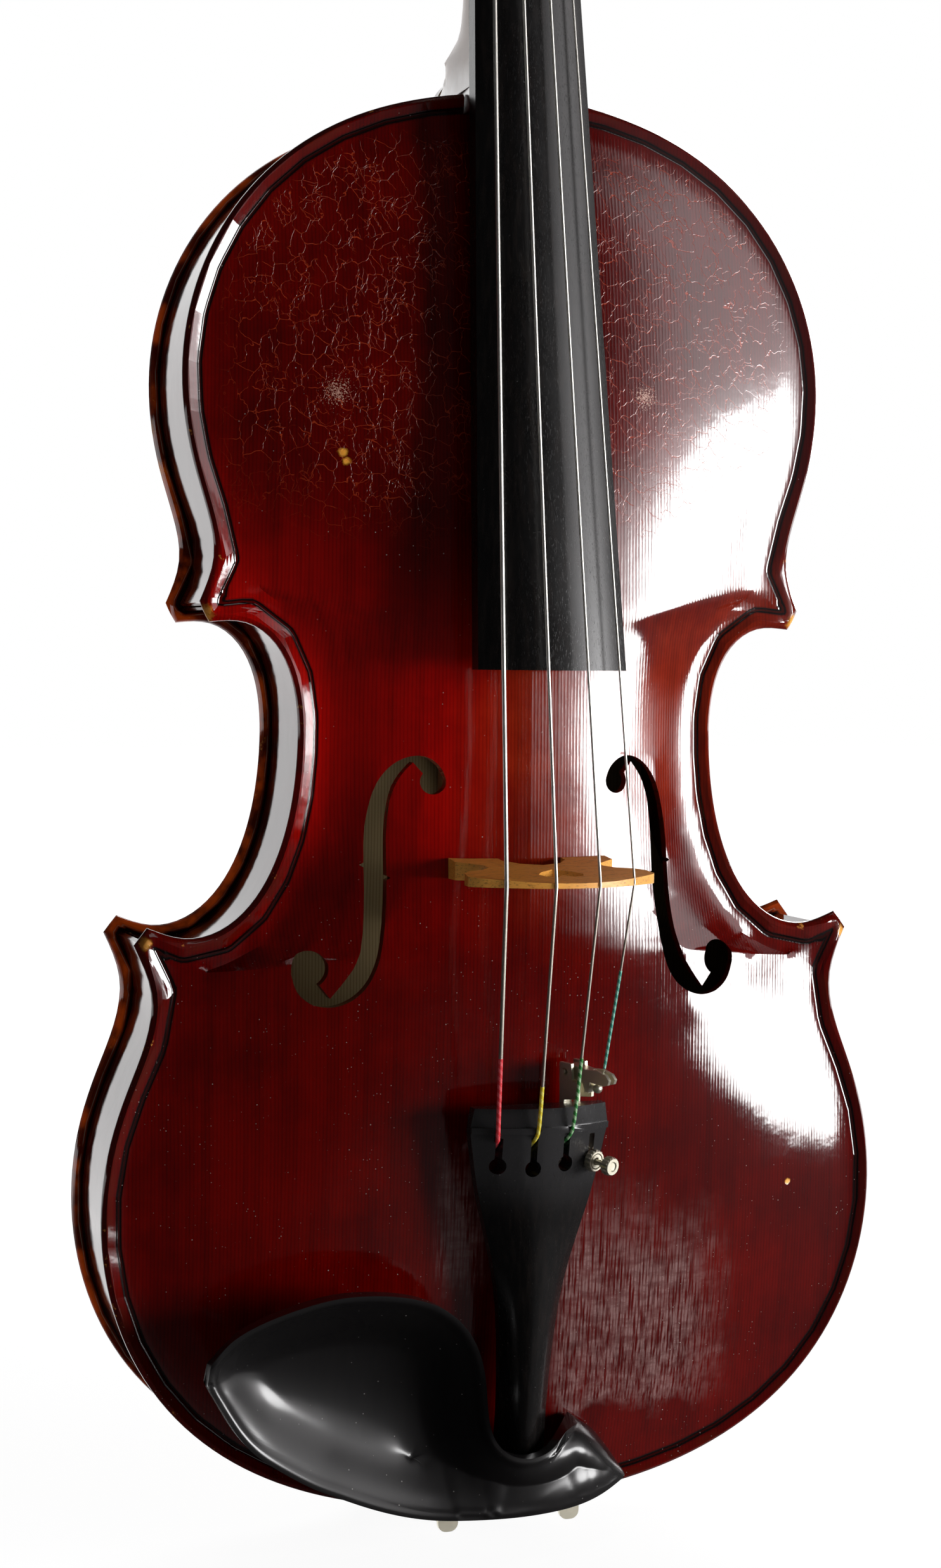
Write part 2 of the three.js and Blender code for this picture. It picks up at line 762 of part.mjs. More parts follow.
for (const [suffix, side] of [['bass', -1], ['treble', 1]]) {
  const cornerShare = (bout) => shareOf(offsets(bout, ribInner), blockReach + fit * 4 + edgeOverhang);
  const upperOuter = stretch(offsets('upper', ribOuter), 0, 1 - shareOf(outlineBouts.upper, edgeOverhang), ribSteps * 2);
  const upperInner = stretch(offsets('upper', ribInner), 0, 1 - shareOf(outlineBouts.upper, edgeOverhang), ribSteps * 2);
  const neckShare = shareAtX(upperInner, neckBlockHalf + fit * 2, true);
  const upper = ribSolid(upperOuter, upperInner, neckShare, 1 - cornerShare('upper'), side);
  addMesh(`upper_rib_${suffix}`, cut(upper, [neckRoot(fit)]), varnishedMaple);

  const middle = ribSolid(
    middleRibLine(ribOuter),
    middleRibLine(ribInner),
    cornerShare('middle'),
    1 - cornerShare('middle'),
    side,
  );
  addMesh(`middle_rib_${suffix}`, middle, varnishedMaple);

  const lowerStart = shareOf(outlineBouts.lower, edgeOverhang);
  const lowerOuter = stretch(offsets('lower', ribOuter), lowerStart, 1, ribSteps * 2);
  const lowerInner = stretch(offsets('lower', ribInner), lowerStart, 1, ribSteps * 2);
  const endShare = shareAtX(lowerInner, endBlockHalf + fit * 2, false);
  const lower = ribSolid(lowerOuter, lowerInner, cornerShare('lower'), endShare, side);
  addMesh(`lower_rib_${suffix}`, cut(lower, [endButtonBore()]), varnishedMaple);

  const upperBlock = cornerBlockPlan(offsets('upper', blockLine), offsets('middle', blockLine));
  addMesh(`upper_corner_block_${suffix}`, planPrism(sided(upperBlock, side), frontGlue, backGlue), rawSpruce);
  const lowerBlock = cornerBlockPlan(offsets('middle', blockLine), offsets('lower', blockLine));
  addMesh(`lower_corner_block_${suffix}`, planPrism(sided(lowerBlock, side), frontGlue, backGlue), rawSpruce);
}

// An end block follows the rib's curve on one side and is flat on the other
function endBlockPlan(line, half, depth) {
  const curve = line.filter((point) => point.x <= half);
  const across = curve[0].x === 0 ? curve : curve.slice().reverse();
  const level = across[0].y;
  const inward = Math.sign((bodyTop + bodyBottom) / 2 - level);
  return [
    ...across.slice().reverse().map(mirrorX),
    ...across.slice(1),
    new THREE.Vector2(half, level + inward * depth),
    new THREE.Vector2(-half, level + inward * depth),
  ];
}

const neckBlockPlan = endBlockPlan(offsets('upper', blockLine), neckBlockHalf, neckBlockDepth);
addMesh('neck_block', cut(planPrism(neckBlockPlan, frontGlue, backGlue), [neckRoot(fit)]), rawSpruce);
const tailBlockPlan = endBlockPlan(offsets('lower', blockLine), endBlockHalf, endBlockDepth);
addMesh('end_block', cut(planPrism(tailBlockPlan, frontGlue, backGlue), [endButtonBore()]), rawSpruce);


// A body seated on the plates: what is left after cutting with copies of them moved by the fit
function seated(body, shell, shift) {
  return cut(body, shell.map((plate) => plate.translate([0, shift, 0])));
}

const depthOf = (solid) => solid.boundingBox().min[1] + solid.boundingBox().max[1];

function innermost(solid) {
  return solid.decompose().reduce((best, piece) => (Math.abs(depthOf(piece)) < Math.abs(depthOf(best)) ? piece : best));
}

function biggest(solid) {
  return solid.decompose().reduce((best, piece) => (piece.volume() > best.volume() ? piece : best));
}

// Bass bar and sound post

const barOffset = 19;
const barThickness = 5.5;
const barTop = bodyBottom + bodyLength * 0.8374;
const barBottom = bodyBottom + bodyLength * 0.1724;
// The bar's underside: levels as shares of its length from the bottom, and their depths
const barLevelShares = [1, 0.8222, 0.6, 0.4519, 0.3037, 0.1185, 0];
const barDepths = [-23.5, -22.2, -20.4, -20, -20.6, -22.6, -23.5];
const postRadius = 3;
const postOffset = 20;
const postBelowBridge = 6.4;
const insideReach = 40;

const barOutline = [
  new THREE.Vector2(-insideReach, barBottom),
  new THREE.Vector2(-insideReach, barTop),
  ...barDepths.map((y, i) => new THREE.Vector2(y, THREE.MathUtils.lerp(barBottom, barTop, barLevelShares[i]))),
];
const barBlank = sidePrism(barOutline, -barOffset - barThickness / 2, -barOffset + barThickness / 2);
addMesh('bass_bar', innermost(seated(barBlank, frontShell, fit)), rawSpruce);

const yAxis = new THREE.Vector3(0, 1, 0);
const zAxis = new THREE.Vector3(0, 0, 1);

function rod(radius, start, axis, length, sides) {
  return turned([[0, 0], [radius, 0], [radius, length], [0, length]], start, axis, sides);
}

const postStart = new THREE.Vector3(postOffset, -insideReach, bridgeFace - postBelowBridge);
const postBlank = rod(postRadius, postStart, yAxis, insideReach * 2, boltSides);
const postTrimmed = seated(seated(postBlank, frontShell, fit), backShell, -fit);
addMesh('sound_post', innermost(postTrimmed), rawSpruce);

// Fingerboard and nut

const crownSteps = 8;
const boardCorner = 0.6;
const boardHollowStart = 20;
const glueLine = 0.03;

function crownRing(level, half, edge, underside, hollow) {
  const points = [];
  for (let i = 0; i <= crownSteps; i += 1) {
    const x = half * ((i / crownSteps) * 2 - 1);
    const rise = Math.sqrt(boardCrown ** 2 - x ** 2) - Math.sqrt(boardCrown ** 2 - half ** 2);
    points.push(new THREE.Vector3(x, edge - rise, level));
  }
  points[0].y += boardCorner;
  points[crownSteps].y += boardCorner;
  for (let i = crownSteps; i >= 0; i -= 1) {
    const share = (i / crownSteps) * 2 - 1;
    const raise = hollow * Math.max(1 - (share / 0.78) ** 2, 0) + glueLine;
    points.push(new THREE.Vector3(half * share, underside - raise, level));
  }
  return points;
}

const boardLevels = [nutLevel, bodyTop, bodyTop - boardHollowStart, boardEndLevel];
const boardRings = boardLevels.map((level) => {
  const hollow = level < bodyTop ? boardHollow : 0;
  return crownRing(level, boardHalfAt(level), boardEdgeAt(level), neckFrontAt(level), hollow);
});
addMesh('fingerboard', loft(boardRings), ebony);

const nutDrop = 1.2;
const nutHalf = boardNutWidth / 2;
const nutTop = nutLevel + nutLength;
const nutBlank = loft([
  crownRing(nutLevel, nutHalf, boardEdgeAt(nutLevel) - nutLift, neckFrontAt(nutLevel), 0),
  crownRing(nutLevel + nutLength / 2, nutHalf, boardEdgeAt(nutLevel) - nutLift, neckFrontAt(nutLevel + nutLength / 2), 0),
  crownRing(nutTop, nutHalf, boardEdgeAt(nutLevel) - nutLift + nutDrop, neckFrontAt(nutTop), 0),
]);

// Neck, pegbox and scroll. In the head, u runs up along the neck's front plane and v to the back

const headPoint = (x, u, v) => new THREE.Vector3(
  x,
  neckFrontAt(nutLevel) + u * Math.sin(neckAngle) + v * Math.cos(neckAngle),
  nutLevel + u * Math.cos(neckAngle) - v * Math.sin(neckAngle),
);

const neckShares = [[1, 0], [1, 0.16], [0.93, 0.42], [0.76, 0.7], [0.44, 0.93], [0, 1]];
const heelShares = [[1, 0], [0.98, 0.16], [0.93, 0.42], [0.86, 0.7], [0.8, 1], [0, 1]];
// Stations of the heel: rise, as a share of the button's height, reach to the back, back half width
const heelStationShares = [
  [0, 1, 1], [0.38, 1, 0.92], [0.69, 1, 0.72], [0.92, 1, 0.38], [1, 0.86, 0.34], [1.12, 0.62, 0.34],
  [1.4, 0.36, 0.4], [1.85, 0.17, 0.5], [2.6, 0.04, 0.6], [3.4, 0, 0.44],
];
const throatStations = [[-14, 14.9], [-8, 15.7], [-3, 17.4], [2, 20], [4.9, 22]];
const neckStationShares = [0.473, 0.642, 0.811];

function neckSection(level, reach, backShare, depth) {
  const half = boardHalfAt(level) - (level > bodyTop + buttonHeight ? 0 : fit);
  const front = neckFrontAt(level);
  const back = THREE.MathUtils.lerp(front + depth, backGlue, reach);
  const side = neckShares.map(([across, down], k) => {
    let x = half * THREE.MathUtils.lerp(across, heelShares[k][0], reach);
    if (k === 4) x = THREE.MathUtils.lerp(half * across, (buttonWidth / 2 - fit) * backShare, Math.min(reach * 3, 1));
    const share = THREE.MathUtils.lerp(down, heelShares[k][1], reach);
    return new THREE.Vector3(x, THREE.MathUtils.lerp(front, back, share), level);
  });
  const mirrored = side.slice(0, -1).reverse().map((point) => new THREE.Vector3(-point.x, point.y, point.z));
  return [...side, ...mirrored];
}

function neckRings() {
  const depthAt = (level) => {
    return THREE.MathUtils.lerp(heelDepthAbove, neckDepth, (level - bodyTop) / neckLength);
  };
  const rings = heelStationShares.map(([rise, reach, back]) => {
    const level = bodyTop + rise * buttonHeight;
    return neckSection(level, reach, back, depthAt(level));
  });
  for (const share of neckStationShares) {
    const level = bodyTop + neckLength * share;
    rings.push(neckSection(level, 0, 1, depthAt(level)));
  }
  for (const [rise, depth] of throatStations) rings.push(neckSection(nutLevel + rise, 0, 1, depth));
  return rings;
}

const headBaseHalf = 12.6;
const headTopHalf = 8.3;
const scrollCentre = [84, 4.3];
const headOutline = [
  [0.5, 0.15], [5.6, 0.15], [66, 6], [70.8, 8.9], [74.8, 13.6], [85, 16.7], [85, 27.8], [71, 27.6], [58, 27.4],
  [46, 28], [35, 28.3], [24, 27.4], [14, 24.8], [8, 20], [3.5, 13], [1, 6],
];
const boxOutline = [
  [7, -6], [7, 10], [8.5, 16], [18, 18.5], [30, 21], [50, 21.3], [60, 20.4], [65.5, 16.5], [66.8, 11], [66.6, -6],
];
const cheekAtNut = 5.4;
const cheekAtTop = 4.4;
const headHalfAt = (u) => THREE.MathUtils.lerp(headBaseHalf, headTopHalf, u / scrollCentre[0]);
const boxHalfAt = (u) => headHalfAt(u) - THREE.MathUtils.lerp(cheekAtNut, cheekAtTop, u / scrollCentre[0]);

function headPrism(outline, halfAt) {
  return loft([-1, 1].map((side) => outline.map(([u, v]) => headPoint(halfAt(u) * side, u, v))));
}

const scrollRadius = 23.7;
const scrollShrinkShare = 0.1;
const scrollTurnCount = 2.25;
const scrollStartHalf = 8.6;
const scrollSpread = 12.4;
const scrollEye = 5;
const scrollChamfer = 0.8;
const scrollFlute = 1;
const scrollOverlap = 0.4;
const scrollStep = Math.PI / 9.75;
const scrollRun = 9;
const scrollEyeRise = 0.7;

const scrollReach = (angle) => scrollRadius * Math.exp(-scrollShrinkShare * angle);

function scrollSection(angle) {
  const whole = scrollTurnCount * Math.PI * 2;
  const outer = scrollReach(angle);
  const inner = Math.max(scrollReach(angle + Math.PI * 2), scrollEye) - scrollOverlap;
  const half = scrollStartHalf + scrollSpread * (angle / whole) ** 1.1;
  const grown = Math.min(angle / (Math.PI / 6), 1);
  const edge = scrollChamfer * grown;
  const flute = scrollFlute * grown;
  const profile = [
    [inner, half], [outer - edge, half], [outer, half - edge - scrollOverlap], [outer - flute, half / 2], [outer, 0],
  ];
  const mirrored = profile.slice(0, -1).reverse().map(([reach, x]) => [reach, -x]);
  return [...profile, ...mirrored].map(([reach, x]) => {
    const [u, v] = [scrollCentre[0] + reach * Math.sin(angle), scrollCentre[1] + reach * Math.cos(angle)];
    return headPoint(x, u, v);
  });
}

function scrollSolid() {
  const stepCount = Math.round((scrollTurnCount * Math.PI * 2) / scrollStep);
  const parts = [];
  for (let from = 0; from < stepCount; from += scrollRun) {
    const rings = [];
    for (let i = from; i <= Math.min(from + scrollRun, stepCount); i += 1) rings.push(scrollSection(i * scrollStep));
    parts.push(loft(rings));
  }
  const eyeHalf = scrollStartHalf + scrollSpread + scrollEyeRise;
  const eyeStart = headPoint(-eyeHalf, scrollCentre[0], scrollCentre[1]);
  parts.push(rod(scrollEye, eyeStart, new THREE.Vector3(1, 0, 0), eyeHalf * 2, boltSides));
  return union(parts);
}

// Pegs: [name, u, v, side that the head is on, turn of the thumb piece, in shares of a full turn]
const pegPlaces = [
  ['c', 17, 9.5, -1, 0.06],
  ['a', 32, 11, 1, 0.46],
  ['g', 47, 12.5, -1, 0.4],
  ['d', 59.5, 12, 1, 0.12],
];
const pegTipRadius = 3.6;
const pegCheekRadius = 4.2;
const pegTipReach = 1;
const collarGap = 9;
const collarRadius = 5.8;
const collarLength = 2.6;
const pegWaist = 3.4;
const thumbStart = 4.5;
const thumbLength = 17;
const thumbHalf = 10.8;
const thumbThickness = 6;
const pipRadius = 2.1;
const pegSides = 12;
const thumbShares = [
  [0, 0.3], [0.12, 0.52], [0.35, 0.93], [0.6, 1], [0.82, 0.8], [0.96, 0.42], [1, 0],
  [0.96, -0.42], [0.82, -0.8], [0.6, -1], [0.35, -0.93], [0.12, -0.52], [0, -0.3],
];

const xAxis = new THREE.Vector3(1, 0, 0);

function pegParts([, u, v, headSide]) {
  const cheek = headHalfAt(u);
  const across = cheek * 2 + pegTipReach;
  const start = headPoint(-headSide * (cheek + pegTipReach), u, v);
  return { across, start, axis: xAxis.clone().multiplyScalar(headSide) };
}

function pegSolid(place) {
  const { across, start, axis } = pegParts(place);
  const collar = across + collarGap;
  const thumb = collar + collarLength + thumbStart;
  const profile = [
    [0, 0], [pegTipRadius, 0], [pegCheekRadius, across], [pegCheekRadius, collar],
    [collarRadius, collar + collarLength * 0.3], [collarRadius, collar + collarLength * 0.7],
    [pegWaist, collar + collarLength * 1.4], [pegWaist, thumb + thumbStart / 2], [0, thumb + thumbStart / 2],
  ];
  const outline = thumbShares.map(([along, wide]) => [along * thumbLength, wide * thumbHalf]);
  const layers = [[-0.5, 0.8], [-0.22, 1], [0.22, 1], [0.5, 0.8]];
  const rings = layers.map(([level, size]) => outline.map(([along, wide]) => {
    const middle = thumbLength / 2;
    return new THREE.Vector3(middle + (along - middle) * size, level * thumbThickness, wide * size);
  }));
  const paddle = loft(rings);
  paddle.rotateX(place[4] * Math.PI * 2);
  if (place[3] < 0) paddle.rotateY(Math.PI);
  const root = start.clone().addScaledVector(axis, thumb);
  paddle.translate(root.x, root.y, root.z);
  const tip = start.clone().addScaledVector(axis, thumb + thumbLength - pipRadius / 2);
  const pip = new THREE.SphereGeometry(pipRadius, boltSides / 2, boltSides / 4);
  pip.translate(tip.x, tip.y, tip.z);
  return union([turned(profile, start, axis, pegSides), paddle, pip]);
}

function pegBore(place) {
  const { across, start, axis } = pegParts(place);
  return turned([
    [0, -overrun], [pegTipRadius + fit, -overrun], [pegTipRadius + fit, 0],
    [pegCheekRadius + fit, across], [pegCheekRadius + fit, across + overrun], [0, across + overrun],
  ], start, axis, pegSides);
}

const neckBlank = union([loft(neckRings()), neckRoot(0), headPrism(headOutline, headHalfAt), scrollSolid()]);
const neckCutters = [headPrism(boxOutline, boxHalfAt), ...pegPlaces.map(pegBore)];
addMesh('neck_and_scroll', biggest(cut(neckBlank, neckCutters)), neckMaple);
for (const place of pegPlaces) addMesh(`peg_${place[0]}`, pegSolid(place), ebony);


// Strings: nut and bridge give x and the rise over the line of the fingerboard's edge, fret gives x and y
const strings = {
  c: { radius: 0.62, silkRadius: 0.72, nut: [-8.35, 2.3], bridge: [-18.75, 6.84], fret: [-14.3, -51.9] },
  g: { radius: 0.5, silkRadius: 0.62, nut: [-2.78, 3], bridge: [-6.4, 12.14], fret: [-2.9, -53.9] },
  d: { radius: 0.43, silkRadius: 0.56, nut: [2.78, 3], bridge: [6.4, 12.14], fret: [7.6, -53.5] },
  a: { radius: 0.36, silkRadius: 0.48, nut: [8.35, 2.3], bridge: [18.75, 6.84], fret: [15.2, -51.4] },
};
// Upper ends of the silk, as shares of the way from the fret to the bridge
const silkShares = { c: 0.306, g: 0.189, d: 0.3, a: 0.646 };
const bridgeTopThickness = 1.4;
const bridgeStringLevel = bridgeFace + bridgeTopThickness / 2;
const fretLevel = 122.3;
const nutStringRise = 2.5;
const stringGap = 3.6;
const windingTail = 2.2;
const windingSpacing = 0.5;
const windingLoopCount = 3;
const loopSteps = 24;
const windingSides = 6;
const stringSides = 8;
// Where each winding starts across the pegbox, and which way it runs
const windingPlaces = { c: [-4.7, 1], g: [-3.7, 1], d: [3.5, -1], a: [4.5, -1] };

const lineAt = (from, to, level) => from.clone().lerp(to, (level - from.z) / (to.z - from.z));

// The places that a string passes, from its peg to its silk
function stringPlaces(name) {
  const line = strings[name];
  const overEdge = ([x, rise], level) => new THREE.Vector3(x, boardEdgeAt(level) - rise, level);
  const bridge = overEdge(line.bridge, bridgeStringLevel);
  const nut = overEdge(line.nut, nutLevel);
  const fret = new THREE.Vector3(...line.fret, fretLevel);
  const bend = lineAt(bridge, nut, nutLevel + nutStringRise);
  const place = pegPlaces.find(([peg]) => peg === name);
  const [across, way] = windingPlaces[name];
  const centre = headPoint(across, place[1], place[2]);
  const shaft = THREE.MathUtils.lerp(pegTipRadius, pegCheekRadius, 0.5 + 0.5 * Math.abs(across) / headBaseHalf);
  const coil = shaft + fit + line.radius;
  const [dy, dz] = [centre.y - bend.y, centre.z - bend.z];
  const away = Math.hypot(dy, dz);
  const heading = Math.atan2(dz, dy) + Math.asin(coil / away);
  const reach = Math.sqrt(away ** 2 - coil ** 2);
  const along = new THREE.Vector3(0, Math.cos(heading), Math.sin(heading));
  const touch = new THREE.Vector3(across, bend.y, bend.z).addScaledVector(along, reach);
  const outward = touch.clone().sub(centre).normalize();
  const inbound = touch.clone().sub(bend).normalize();
  const silkStart = fret.clone().lerp(bridge, silkShares[name]);
  return { line, bridge, bend, fret, silkStart, centre, coil, along, touch, outward, inbound, way };
}

function stringPath(name) {
  const { bridge, bend, silkStart, touch, inbound } = stringPlaces(name);
  return [touch.clone().addScaledVector(inbound, -stringGap), bend, bridge, silkStart];
}

function leastSelfGap(points, radius, skip) {
  let least = Infinity;
  for (let i = 0; i < points.length; i += 1) {
    for (let j = i + skip; j < points.length; j += 1) least = Math.min(least, points[i].distanceTo(points[j]));
  }
  return least - radius * 2;
}

function windingPath(name) {
  const { line, centre, coil, along, touch, outward, inbound, way } = stringPlaces(name);
  const points = [touch.clone().addScaledVector(inbound, -windingTail), touch.clone().addScaledVector(inbound, -windingTail / 2)];
  const pitch = line.radius * 2 + windingSpacing;
  for (let i = 0; i <= windingLoopCount * loopSteps; i += 1) {
    const angle = (i / loopSteps) * Math.PI * 2;
    const point = centre.clone();
    point.addScaledVector(outward, coil * Math.cos(angle));
    point.addScaledVector(along, coil * Math.sin(angle));
    point.x += way * pitch * (i / loopSteps);
    points.push(point);
  }
  return points;
}

let windingGap = Infinity;
for (const name of Object.keys(strings)) {
  const path = windingPath(name);
  addMesh(`winding_${name}`, tube(path, strings[name].radius, windingSides), steelWire);
  windingGap = Math.min(windingGap, leastSelfGap(path, strings[name].radius, loopSteps / 2));
  addMesh(`string_${name}`, tube(stringPath(name), strings[name].radius, stringSides), steelWire);
}
console.error(`least self-gap of the windings: ${windingGap.toFixed(2)} mm`);

const grooveWider = 0.15;
const grooves = Object.keys(strings).map((name) => {
  return tube(stringPath(name), strings[name].radius + grooveWider, stringSides);
});
addMesh('nut', biggest(cut(nutBlank, grooves)), ebony);

// Bridge, as half an outline: x, then height above the feet, for a bridge of the pattern's height
const bridgeFeet = -36.9;
const bridgeFootThickness = 5.5;
const bridgePattern = 36.6;
const bridgeCrownRise = 12.54;
const bridgeTop = bridgeFeet - boardEdgeAt(bridgeStringLevel) + bridgeCrownRise;
const bridgeHalf = [
  [9.5, -2.8], [23.7, -6], [23.7, 3.8], [20.5, 6.5], [17.4, 9.5], [17, 12.5], [19.5, 15.5], [24.5, 17.5], [26.8, 20],
  [27.4, 24.6], [26.4, 26], [23.5, 28], [18.75, 31], [12.5, 34.3], [6.4, 36.05], [0, 36.6],
];
const bridgeArch = [[0, 10.5], [6, 8], [9.5, 3.2]];
const bridgeHeart = [
  [0, 17], [4.6, 20.6], [6.6, 23.6], [5.4, 26.6], [2.4, 27.4], [0, 25], [-2.4, 27.4], [-5.4, 26.6], [-6.6, 23.6],
  [-4.6, 20.6],
];

function bridgePrism(outline, from, thickness) {
  return loft([0, 1].map((share) => outline.map(([x, height]) => {
    const y = bridgeFeet - height * (bridgeTop / bridgePattern);
    return new THREE.Vector3(x, y, bridgeFace + from + share * thickness(height));
  })));
}

const bridgeOutline = [
  ...bridgeHalf,
  ...bridgeHalf.slice(0, -1).reverse().map(([x, height]) => [-x, height]),
  ...bridgeArch.slice().reverse().map(([x, height]) => [-x, height]),
  ...bridgeArch.slice(1),
];
const bridgeBlank = bridgePrism(bridgeOutline, 0, (height) => {
  return THREE.MathUtils.lerp(bridgeFootThickness, bridgeTopThickness, height / bridgePattern);
});
const heartCutter = bridgePrism(bridgeHeart, -overrun, () => overrun * 3);
const bridgeSeated = seated(bridgeBlank, frontShell, -fit);
addMesh('bridge', biggest(cut(bridgeSeated, [heartCutter, ...grooves])), bridgeMaple);

// Tailpiece: level and half width from its top end down
const tailTop = 128.5;
const tailEnd = 15;
const tailTopCentre = -53.2;
const tailEndCentre = -38.9;
const tailTopUnder = -43.9;
const tailEndUnder = -30.4;
const tailTopEdge = 3.5;
const tailEndEdge = 2.5;
const tailHalves = [
  [128.5, 19.6], [122.3, 20.7], [117, 19.6], [110, 18.5], [104, 17.1], [99, 15.9], [91, 13.5], [78, 10], [63, 8.1],
  [38, 6.9], [26.5, 7.6], [18, 7.4], [15, 5.6],
];
const tailCrownSteps = 6;
const fretBottom = 121.4;
const fretTop = 123.2;
const fretRise = 1;
const fretDepth = 2;
const keyholes = { c: [-12.9, 112.2], g: [-3.3, 111.4], d: [6.5, 112.4] };
const keyholeRadius = 2.3;
const slotTop = 120.2;
const slotHalf = 0.95;
const tunerHoleX = 15.2;
const tunerHoleLevel = 112.6;
const gutRadius = 0.9;
const gutHalf = 4.5;
const gutHoleDepth = 9;

const tailShare = (level) => (tailTop - level) / (tailTop - tailEnd);
const tailHalfAt = (level) => {
  const i = Math.max(tailHalves.findIndex(([lower]) => lower <= level), 1);
  const [[above, wide], [below, narrow]] = [tailHalves[i - 1], tailHalves[i]];
  return THREE.MathUtils.lerp(narrow, wide, (level - below) / (above - below));
};
const tailCentreAt = (level) => THREE.MathUtils.lerp(tailTopCentre, tailEndCentre, tailShare(level));
const tailUnderAt = (level) => THREE.MathUtils.lerp(tailTopUnder, tailEndUnder, tailShare(level));
const tailEdgeAt = (level) => THREE.MathUtils.lerp(tailTopEdge, tailEndEdge, tailShare(level));

function tailSurface(x, level) {
  const drop = tailUnderAt(level) - tailEdgeAt(level) - tailCentreAt(level);
  return tailCentreAt(level) + drop * (x / tailHalfAt(level)) ** 2;
}

function tailRing(level, raise, under) {
  const half = tailHalfAt(level);
  const points = [];
  for (let i = 0; i <= tailCrownSteps; i += 1) {
    const x = half * ((i / tailCrownSteps) * 2 - 1);
    points.push(new THREE.Vector3(x, tailSurface(x, level) - raise, level));
  }
  if (under) {
    for (const point of points.slice().reverse()) {
      points.push(new THREE.Vector3(point.x, tailSurface(point.x, level) + fretDepth, level));
    }
  } else {
    points.push(new THREE.Vector3(half, tailUnderAt(level), level), new THREE.Vector3(-half, tailUnderAt(level), level));
  }
  return points;
}

const tailSlope = Math.atan((tailEndCentre - tailTopCentre) / (tailTop - tailEnd));
const tunerTilt = THREE.MathUtils.degToRad(24);
const tunerOrigin = new THREE.Vector3(tunerHoleX, tailSurface(tunerHoleX, tunerHoleLevel), tunerHoleLevel);
// The tuner's own directions: along the tailpiece to its top, out from its surface, and across
const tunerAlong = new THREE.Vector3(0, -Math.sin(tailSlope), Math.cos(tailSlope));
const tunerOut = new THREE.Vector3(0, -Math.cos(tailSlope), -Math.sin(tailSlope)).applyAxisAngle(tunerAlong, tunerTilt);
const tunerAcross = tunerOut.clone().cross(tunerAlong).negate();

function tunerPoint(across, along, out) {
  const point = tunerOrigin.clone();
  point.addScaledVector(tunerAcross, across);
  point.addScaledVector(tunerAlong, along);
  return point.addScaledVector(tunerOut, out);
}

function tunerPrism(outline, from, to) {
  return loft([from, to].map((across) => outline.map(([along, out]) => tunerPoint(across, along, out))));
}

const silkPasses = 3.2;
const silkDip = 3.4;
const silkBallRadius = 1.9;

function silkPath(name) {
  const { fret, line, silkStart } = stringPlaces(name);
  if (name === 'a') return [silkStart, tunerPoint(0, wireEnd[0] + fit, wireEnd[1])];
  const [x, level] = keyholes[name];
  const after = new THREE.Vector3(THREE.MathUtils.lerp(fret.x, x, 0.4), 0, fretLevel - silkPasses / 2);
  after.y = tailSurface(after.x, after.z) - line.silkRadius;
  const slot = new THREE.Vector3(x, tailSurface(x, slotTop) + silkDip / 2, slotTop - silkPasses / 2);
  const tail = new THREE.Vector3(x, tailUnderAt(level + keyholeRadius) + silkBallRadius, level + keyholeRadius);
  return [silkStart, fret, after, slot, tail];
}

const wireEnd = [26.8, 3.2];
const tailBlank = union([
  loft(tailHalves.map(([level]) => tailRing(level, 0, false))),
  loft([tailRing(fretBottom, fretRise, true), tailRing(fretTop, fretRise, true)]),
]);
const tailCutters = [];
for (const [x, level] of [...Object.values(keyholes), [tunerHoleX, tunerHoleLevel]]) {
  const from = new THREE.Vector3(x, tailTopCentre - overrun, level);
  if (x !== tunerHoleX) tailCutters.push(rod(keyholeRadius, from, yAxis, overrun * 3, boltSides));
  const slot = [
    new THREE.Vector2(x - slotHalf, level),
    new THREE.Vector2(x + slotHalf, level),
    new THREE.Vector2(x + slotHalf, slotTop),
    new THREE.Vector2(x - slotHalf, slotTop),
  ];
  tailCutters.push(planPrism(slot, tailTopCentre - overrun, tailTopCentre + overrun * 2));
}
for (const name of ['c', 'g', 'd']) {
  tailCutters.push(tube(silkPath(name), strings[name].silkRadius + grooveWider * 2, stringSides));
}
tailCutters.push(rod(keyholeRadius, tunerPoint(0, 0, -overrun * 2), tunerOut, overrun * 3, boltSides));
const gutHoleY = (tailEndCentre + tailEndUnder) / 2;
for (const side of [-1, 1]) {
  const from = new THREE.Vector3(gutHalf * side, gutHoleY, tailEnd - overrun);
  tailCutters.push(rod(gutRadius + fit, from, zAxis, overrun + gutHoleDepth, stringSides));
}
addMesh('tailpiece', biggest(cut(tailBlank, tailCutters)), ebony);

// Silk ends of the strings, and the ball of the one in the fine tuner
const silkColours = { c: 0xe1323c, g: 0xebd728, d: 0x469646, a: 0x5aaa96 };
for (const name of ['c', 'g', 'd']) {
  const path = silkPath(name);
  const ball = new THREE.SphereGeometry(silkBallRadius, stringSides, stringSides / 2);
  ball.translate(...path[path.length - 1].toArray());
  const end = union([tube(path, strings[name].silkRadius, stringSides), ball]);
  addMesh(`silk_${name}`, end, silk(silkColours[name]));
}
addMesh('silk_a', tube(silkPath('a'), strings.a.silkRadius, stringSides), silk(silkColours.a));

